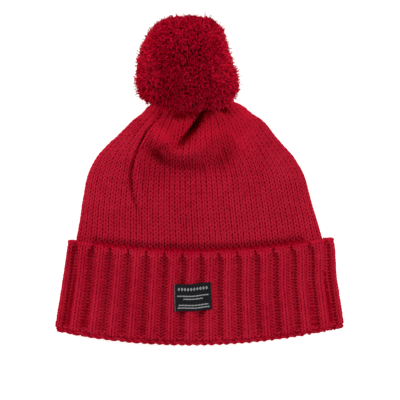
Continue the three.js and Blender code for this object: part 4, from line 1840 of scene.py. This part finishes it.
@dataclass
class Pompom:
    """The ball of cut yarn ends, tied to the crown's tip.

    Sizes are millimetres. The barrier is the crown's face from one of its rows on, as a coarse
    grid that the ball keeps clear of.
    """

    form: HatForm
    crown: Crown
    radius: float = 39.5
    beyond_tip: float = 21.5
    aside: float = -8.8
    sink: float = 1.5
    tip_round: float = 2.0
    lit_side: float = 3.0
    ends: Strands = Strands(19600, 0.45, seed=61, inner=8.0, outer=(-3.0, 0.6), tilt=0.36)
    wisps: Strands = Strands(3600, 0.25, seed=62, inner=5.0, outer=(-1.5, 1.2), tilt=0.35)
    clump_size: float = 0.45
    clump_waves: tuple[Triple, ...] = ((17, 5, 9), (-8, 19, 4), (6, -9, 18), (-14, -12, 13))
    core_depth: float = 7.5
    core_jitter: float = 0.5
    core_seed: int = 50
    core_rest: float = 0.5
    clear: float = 1.6
    barrier_from: int = 90
    barrier_rows: int = 40
    barrier_columns: int = 180
    lumps: tuple[Lump, ...] = (
        Lump(-36, 0.29, 24),
        Lump(14, -0.085, 20),
        Lump(54, 0.085, 20),
        Lump(88, -0.035, 20),
        Lump(125, 0.025, 20),
        Lump(152, -0.02, 14),
        Lump(-142, 0.19, 24),
    )

    def __post_init__(self) -> None:
        """Finds the ball's middle and what the crown leaves of its room."""
        face = self.crown.face
        tip = face.points[-1].mean(axis=0) / MM
        tip[1] += self.tip_round
        ahead, above = tip[1] + self.beyond_tip, self.radius - self.sink
        self.middle = np.array([tip[0] + self.aside, ahead, above])
        bm = bmesh.new()
        along = np.linspace(face.along[self.barrier_from], face.along[-1], self.barrier_rows)
        stitches = (self.crown.wales[0], self.crown.stitch.course)
        wrap_grid(bm, face, self.barrier_columns, along, 0.0, stitches)
        self.barrier = BVHTree.FromBMesh(bm)
        bm.free()

    def reach(self, ways: np.ndarray) -> np.ndarray:
        """The ball's radius in some directions, with its lumps and hollows."""
        size = np.ones(len(ways))
        for lump in self.lumps:
            turn = math.radians(lump.angle)
            cosine = ways @ np.array([math.cos(turn), math.sin(turn), 0.0])
            angle = np.arccos(np.clip(cosine, -1, 1))
            size += lump.size * np.exp(-((angle / math.radians(lump.spread)) ** 2))
        clump = sum(
            np.sin(ways @ np.array(wave) + turn) for turn, wave in enumerate(self.clump_waves)
        )
        return size * self.radius + self.clump_size * clump

    def _room(self, way: np.ndarray) -> float:
        """How far the crown leaves the ball room in a direction, in millimetres."""
        hit = self.barrier.ray_cast(Vector(self.middle * MM), Vector(way))
        return hit[3] / MM if hit[0] is not None else math.inf

    def core(self) -> bpy.types.Object:
        """Builds the dense inside of the ball.

        Returns:
            The closed ball, clear of the crown.
        """
        bm = bmesh.new()
        bmesh.ops.create_icosphere(bm, subdivisions=5, radius=1)
        verts = bm.verts[:]
        ways = unit(np.array([vert.co[:] for vert in verts]))
        reach = self.reach(ways) - self.core_depth
        random = np.random.default_rng(self.core_seed)
        reach = reach + random.normal(size=len(ways)) * self.core_jitter
        for vert, way, far in zip(verts, ways, reach):
            held = min(far, self._room(way) - self.clear)
            point = (self.middle + way * held) * MM
            vert.co = (point[0], point[1], max(point[2], self.core_rest * MM))
        return piece_of("pompom_core", bm)

    def _lines(self, strands: Strands, random: np.random.Generator) -> np.ndarray:
        """Draws the strands' centre lines, spread by the golden angle, where they have room.

        Args:
            strands: What they are like.
            random: The source of what differs between them.

        Returns:
            The root and the tip of each line in millimetres, as lines, ends and axes.
        """
        index = np.arange(strands.count)
        level = 1 - (2 * index + 1) / strands.count
        turn = index * math.pi * (3 - math.sqrt(5)) + strands.seed
        flat = np.sqrt(1 - level**2)
        ways = np.stack([flat * np.cos(turn), flat * np.sin(turn), level], axis=1)
        spread = random.normal(size=ways.shape) * strands.spread / math.sqrt(strands.count)
        ways = unit(ways + spread)
        reach = self.reach(ways)
        room = np.array([self._room(way) for way in ways])
        keep = room > reach - self.core_depth
        ways, reach, room = ways[keep], reach[keep], room[keep]
        length = strands.inner + random.normal(*strands.outer, len(ways))
        end = np.minimum(reach - strands.inner + length, room - strands.room_left)
        begin = np.minimum(reach - strands.inner, end - strands.least)
        lean = random.normal(size=ways.shape) * strands.tilt
        curl = random.normal(size=ways.shape) * strands.tilt * strands.curl
        lean -= ways * np.sum(lean * ways, axis=1, keepdims=True)
        curl -= ways * np.sum(curl * ways, axis=1, keepdims=True)
        root = self.middle + ways * begin[:, None]
        tip = self.middle + ways * end[:, None] + (lean + curl) * (end - begin)[:, None]
        lines = np.stack([root, tip], axis=1)
        lines[..., 2] = np.maximum(lines[..., 2], strands.radius * strands.floor_share)
        return lines

    def _set_strands(self, parts: MeshParts, strands: Strands) -> None:
        """Sets strands in the ball.

        Args:
            parts: Where their mesh goes.
            strands: What they are like.
        """
        random = np.random.default_rng(strands.seed)
        lines = self._lines(strands, random)
        count = len(lines)
        tangent = unit(np.gradient(lines, axis=1))
        beside = unit(np.cross(tangent, random.normal(size=(count, 1, 3))))
        pattern = strand_pattern(0, strands.sides)
        height, is_end = pattern.places[:, 0], pattern.places[:, 1] == strands.sides
        size = strands.radius * (1 + strands.unevenness * random.normal(size=(count, 1)))
        radius = np.where(is_end, 0.0, np.array(strands.flare)[height]) * size
        ways = (beside, np.cross(tangent, beside))
        points = round_section(pattern, strands.sides, lines, ways, radius)
        dome = np.where(is_end, strands.dome, 0.0) * size
        points = points + tangent[:, height] * dome[..., None]
        along = np.broadcast_to(pattern.uv[:, 0] * 0.98 + 0.01, (count, len(pattern.uv)))
        strand = random.integers(0, 60, (count, 1))
        around = strand + 0.02 + 0.96 * np.broadcast_to(pattern.uv[:, 1], along.shape)
        parts.add(pattern, points * MM, np.stack([along, around], axis=-1))

    def build(self) -> None:
        """Builds the pompom's pieces and dresses them."""
        low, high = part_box("pompom")
        middle = (Vector(low) + Vector(high)) / 2
        # The pile's colour is far lighter than the knit's wool, though it is one yarn: painted
        # light that offsets the shade in the ball.
        pile = PileFinish(
            "red_wool_pile", colour=(0.86, 0.004, 0.04), deep=(0.08, 0.0001, 0.003),
            light=(0.98, 0.012, 0.06), mottle=1.2, sheen=0.8, side_highlight=1.1,
            middle=middle.x - self.lit_side * MM,
        )
        loose = PileFinish(
            "red_wool_fluff", colour=(0.48, 0.002, 0.02), deep=(0.06, 0.0001, 0.002),
            mottle=0.6, sheen=0.3,
        )
        core = self.core()
        # The core's dark colour is painted shade: the inside of the ball is the same yarn.
        inside = GroundFinish("red_pile_inside_painted_shade", colour=(0.14, 0.0015, 0.006))
        core.data.materials.append(inside.material())
        core.data.uv_layers.new(name="cloth")
        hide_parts("pompom")
        yarn, fluff = MeshParts(), MeshParts()
        self._set_strands(yarn, self.ends)
        self._set_strands(fluff, self.wisps)
        pieces = [yarn.piece("pompom_yarn_ends"), fluff.piece("pompom_wisps")]
        wool = pile.material()
        for piece, finish in zip(pieces, (wool, loose.material())):
            piece.data.materials.append(finish)
        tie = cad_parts["pompom_tie"]
        tie.data.materials.clear()
        tie.data.materials.append(wool)
        for piece in (core, *pieces):
            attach(piece, "root")
            LOG.info("%s: %d triangles", piece.name, triangles(piece))


@dataclass
class Label:
    """The small woven label, sewn flat on the cuff's ribs.

    Sizes are millimetres and tilt is degrees. The cloth sags over the ribs' ridges by dip, of
    which it keeps the share sag, and droops near its edges. A seam's stitch fills the share
    stitch_fill of its own place.
    """

    form: HatForm
    cuff: Cuff
    width: float = 30.0
    height: float = 21.4
    thickness: float = 0.7
    aside: float = -5.4
    gap: float = 0.25
    rise: float = 21.3
    tilt: float = 3.5
    edge_wave: float = 0.3
    edge_turns: Pair = (1.3, 0.2)
    dip: float = 0.45
    sag: float = 0.6
    droop: float = 0.35
    droop_width: float = 3.0
    columns: int = 60
    rows: int = 40
    thread: float = 0.28
    stitches: int = 15
    stitch_fill: float = 0.78
    stitch_sink: float = 0.25
    stitch_arch: float = 0.3
    stitch_steps: int = 5
    stitch_sides: int = 6
    left_seam: float = 0.012
    right_seam: float = 0.975

    def _place(self, across: np.ndarray, upward: np.ndarray, out: np.ndarray) -> np.ndarray:
        """Finds points on the label.

        Args:
            across: Shares of its width, from its left edge.
            upward: Shares of its height, from its lower edge.
            out: Distances out of it, in millimetres.

        Returns:
            The points in metres.
        """
        cuff, form = self.cuff, self.form
        turn = math.radians(self.tilt)
        x = self.width * (across - 0.5)
        y = self.height * (upward - 0.5)
        turns = self.edge_turns[0] * across + self.edge_turns[1] * upward
        y = y + self.edge_wave * np.sin(FULL_TURN * turns)
        height = self.rise + form.opening_bow + x * math.sin(turn) + y * math.cos(turn)
        x = self.aside + x * math.cos(turn) - y * math.sin(turn)
        outside = slice(cuff.edge_rings - 1, cuff.fold_at)
        along = np.interp(-height, -cuff.height[outside], cuff.face.along[outside])
        round_it = cuff.face.width(np.full(1, 0.5), along.reshape(-1)[:1])[0]
        share = 0.5 - x / round_it
        phase = cuff.rib_phase(share)
        deep = cuff.rib_valley * np.interp(along, cuff.face.along, cuff.ribs)
        dip = -self.dip * np.cos(FULL_TURN * phase) - self.dip
        raised = cuff.valley(np.abs(phase)) * deep + self.gap + dip * self.sag
        edge = np.minimum(across, 1 - across) * self.width
        edge = np.minimum(edge, self.droop_width) / self.droop_width
        places = cuff.face.read(cuff.face.points, share, along)
        places[..., 2] += (raised + out - self.droop * (1 - edge) ** 2) * MM
        return places

    def cloth(self) -> bpy.types.Object:
        """Weaves the label's cloth.

        Returns:
            The sheet, with the UV map "cloth".
        """
        bm = bmesh.new()
        bm.loops.layers.uv.new("cloth")
        bmesh.ops.create_grid(
            bm, x_segments=self.columns, y_segments=self.rows, size=0.5, calc_uvs=True
        )
        verts = bm.verts[:]
        across = np.array([vert.co.x + 0.5 for vert in verts])
        upward = np.array([vert.co.y + 0.5 for vert in verts])
        points = self._place(across, upward, np.full(len(verts), self.thickness))
        for vert, point in zip(verts, points):
            vert.co = point
        bmesh.ops.recalc_face_normals(bm, faces=bm.faces)
        if sum(face.normal.z for face in bm.faces) < 0:
            bmesh.ops.reverse_faces(bm, faces=bm.faces)
        bmesh.ops.solidify(bm, geom=bm.faces[:], thickness=self.thickness * MM)
        return piece_of("label_cloth", bm)

    def seam(self, name: str, across: float, radius: float) -> bpy.types.Object:
        """Sews a line of stitches up one edge of the label.

        Args:
            name: The piece's name.
            across: Where the line is, as a share of the label's width.
            radius: The thread's radius in millimetres.

        Returns:
            The line of stitches.
        """
        sides = self.stitch_sides
        pattern = strand_pattern(self.stitch_steps - 2, sides)
        t = np.linspace(0, 1, self.stitch_steps)
        start = (np.arange(self.stitches) + 0.5) / self.stitches
        upward = start[:, None] + (t[None] - 0.5) * self.stitch_fill / self.stitches
        arch = self.stitch_arch * np.sin(math.pi * t)[None]
        out = np.broadcast_to(self.thickness - self.stitch_sink + arch, upward.shape)
        lines = self._place(np.full(upward.shape, across), upward, out) / MM
        tangent = unit(np.gradient(lines, axis=1))
        beside = unit(np.cross(tangent, np.array([0.0, 0.0, 1.0])))
        reach = np.where(pattern.places[:, 1] == sides, 0.0, radius)[None]
        ways = (beside, np.cross(beside, tangent))
        points = round_section(pattern, sides, lines, ways, reach)
        parts = MeshParts()
        uv = np.broadcast_to(pattern.uv, (self.stitches, *pattern.uv.shape))
        parts.add(pattern, points * MM, uv)
        return parts.piece(name)

    def build(self) -> None:
        """Builds the label's pieces and dresses them."""
        cloth = self.cloth()
        cloth.data.materials.append(WovenFinish().material())
        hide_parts("label")
        left = self.seam("label_left_seam", self.left_seam, self.thread * 0.8)
        left.data.materials.append(ThreadFinish("pale_thread", LabelThread.PALE).material())
        right = self.seam("label_right_seam", self.right_seam, self.thread)
        right.data.materials.append(ThreadFinish("black_thread", LabelThread.SEWING).material())
        for piece in (cloth, left, right):
            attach(piece, "root")
            LOG.info("%s: %d triangles", piece.name, triangles(piece))


@dataclass
class Studio:
    """The floor, the lights and the camera.

    Places and sizes are metres. A lamp is its name, its place, the length of its side and its
    power in watts.
    """

    camera_place: Triple = (0.0004, -0.01642, 3.571)
    room_light: float = 0.16
    lamps: tuple[tuple[str, Triple, float, float], ...] = (
        ("top", (-0.3, 1.5, 1.7), 0.9, 11.0),
        ("left", (-1.84, 0.4, 1.05), 0.8, 16.5),
        ("right", (1.6, 0.1, 1.4), 0.8, 16.0),
        ("front", (0.4, -1.7, 1.2), 0.9, 3.0),
    )

    def camera(self) -> None:
        """Sets the camera straight above the hat, at the photograph's angle."""
        data = bpy.data.cameras.new("camera")
        data.type = "PERSP"
        data.sensor_width, data.lens = 36, 400
        data.clip_start, data.clip_end = 0.1, 100
        camera = shown("camera", data)
        camera.location = self.camera_place
        bpy.context.scene.camera = camera

    def floor(self) -> None:
        """Lays the pale floor."""
        bm = bmesh.new()
        bmesh.ops.create_circle(bm, cap_ends=True, segments=96, radius=14)
        floor = piece_of("floor", bm)
        floor.data.materials.append(FloorFinish().material())

    def light(self, name: str, place: Triple, size: float, power: float) -> None:
        """Hangs a square soft light that faces the hat.

        Args:
            name: The light's name.
            place: Where it hangs, in metres.
            size: The length of its side.
            power: Its power in watts.
        """
        data = bpy.data.lights.new(name, "AREA")
        data.shape = "SQUARE"
        data.size, data.energy = size, power
        lamp = shown(name, data)
        lamp.location = place
        lamp.rotation_euler = (-Vector(place)).to_track_quat("-Z", "Y").to_euler()
        lamp.visible_camera = False

    def build(self) -> None:
        """Sets up the studio."""
        scene = bpy.context.scene
        scene.view_settings.view_transform = "Standard"
        world = bpy.data.worlds.new("studio_white")
        world.use_nodes = True
        nodes = Nodes(world.node_tree)
        glow = nodes.tree.nodes["Background"]
        nodes.set(glow, Color=(1, 1, 1), Strength=self.room_light)
        backdrop = nodes.add("Background", Color=(1, 1, 1), Strength=1.0)
        is_seen = nodes.add("LightPath").outputs["Is Camera Ray"]
        chosen = nodes.add("MixShader", i0=is_seen, i1=glow.outputs[0], i2=backdrop.outputs[0])
        nodes.set(nodes.tree.nodes["World Output"], Surface=chosen.outputs[0])
        scene.world = world
        self.camera()
        self.floor()
        for lamp in self.lamps:
            self.light(*lamp)


def main() -> None:
    """Builds the studio and the hat."""
    logging.basicConfig(level=logging.INFO, format="%(message)s")
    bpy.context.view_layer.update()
    Studio().build()
    form = HatForm()
    crown = Crown(form)
    crown.build()
    cuff = Cuff(form)
    cuff.build()
    Pompom(form, crown).build()
    Label(form, cuff).build()


if __name__ == "__main__":
    main()
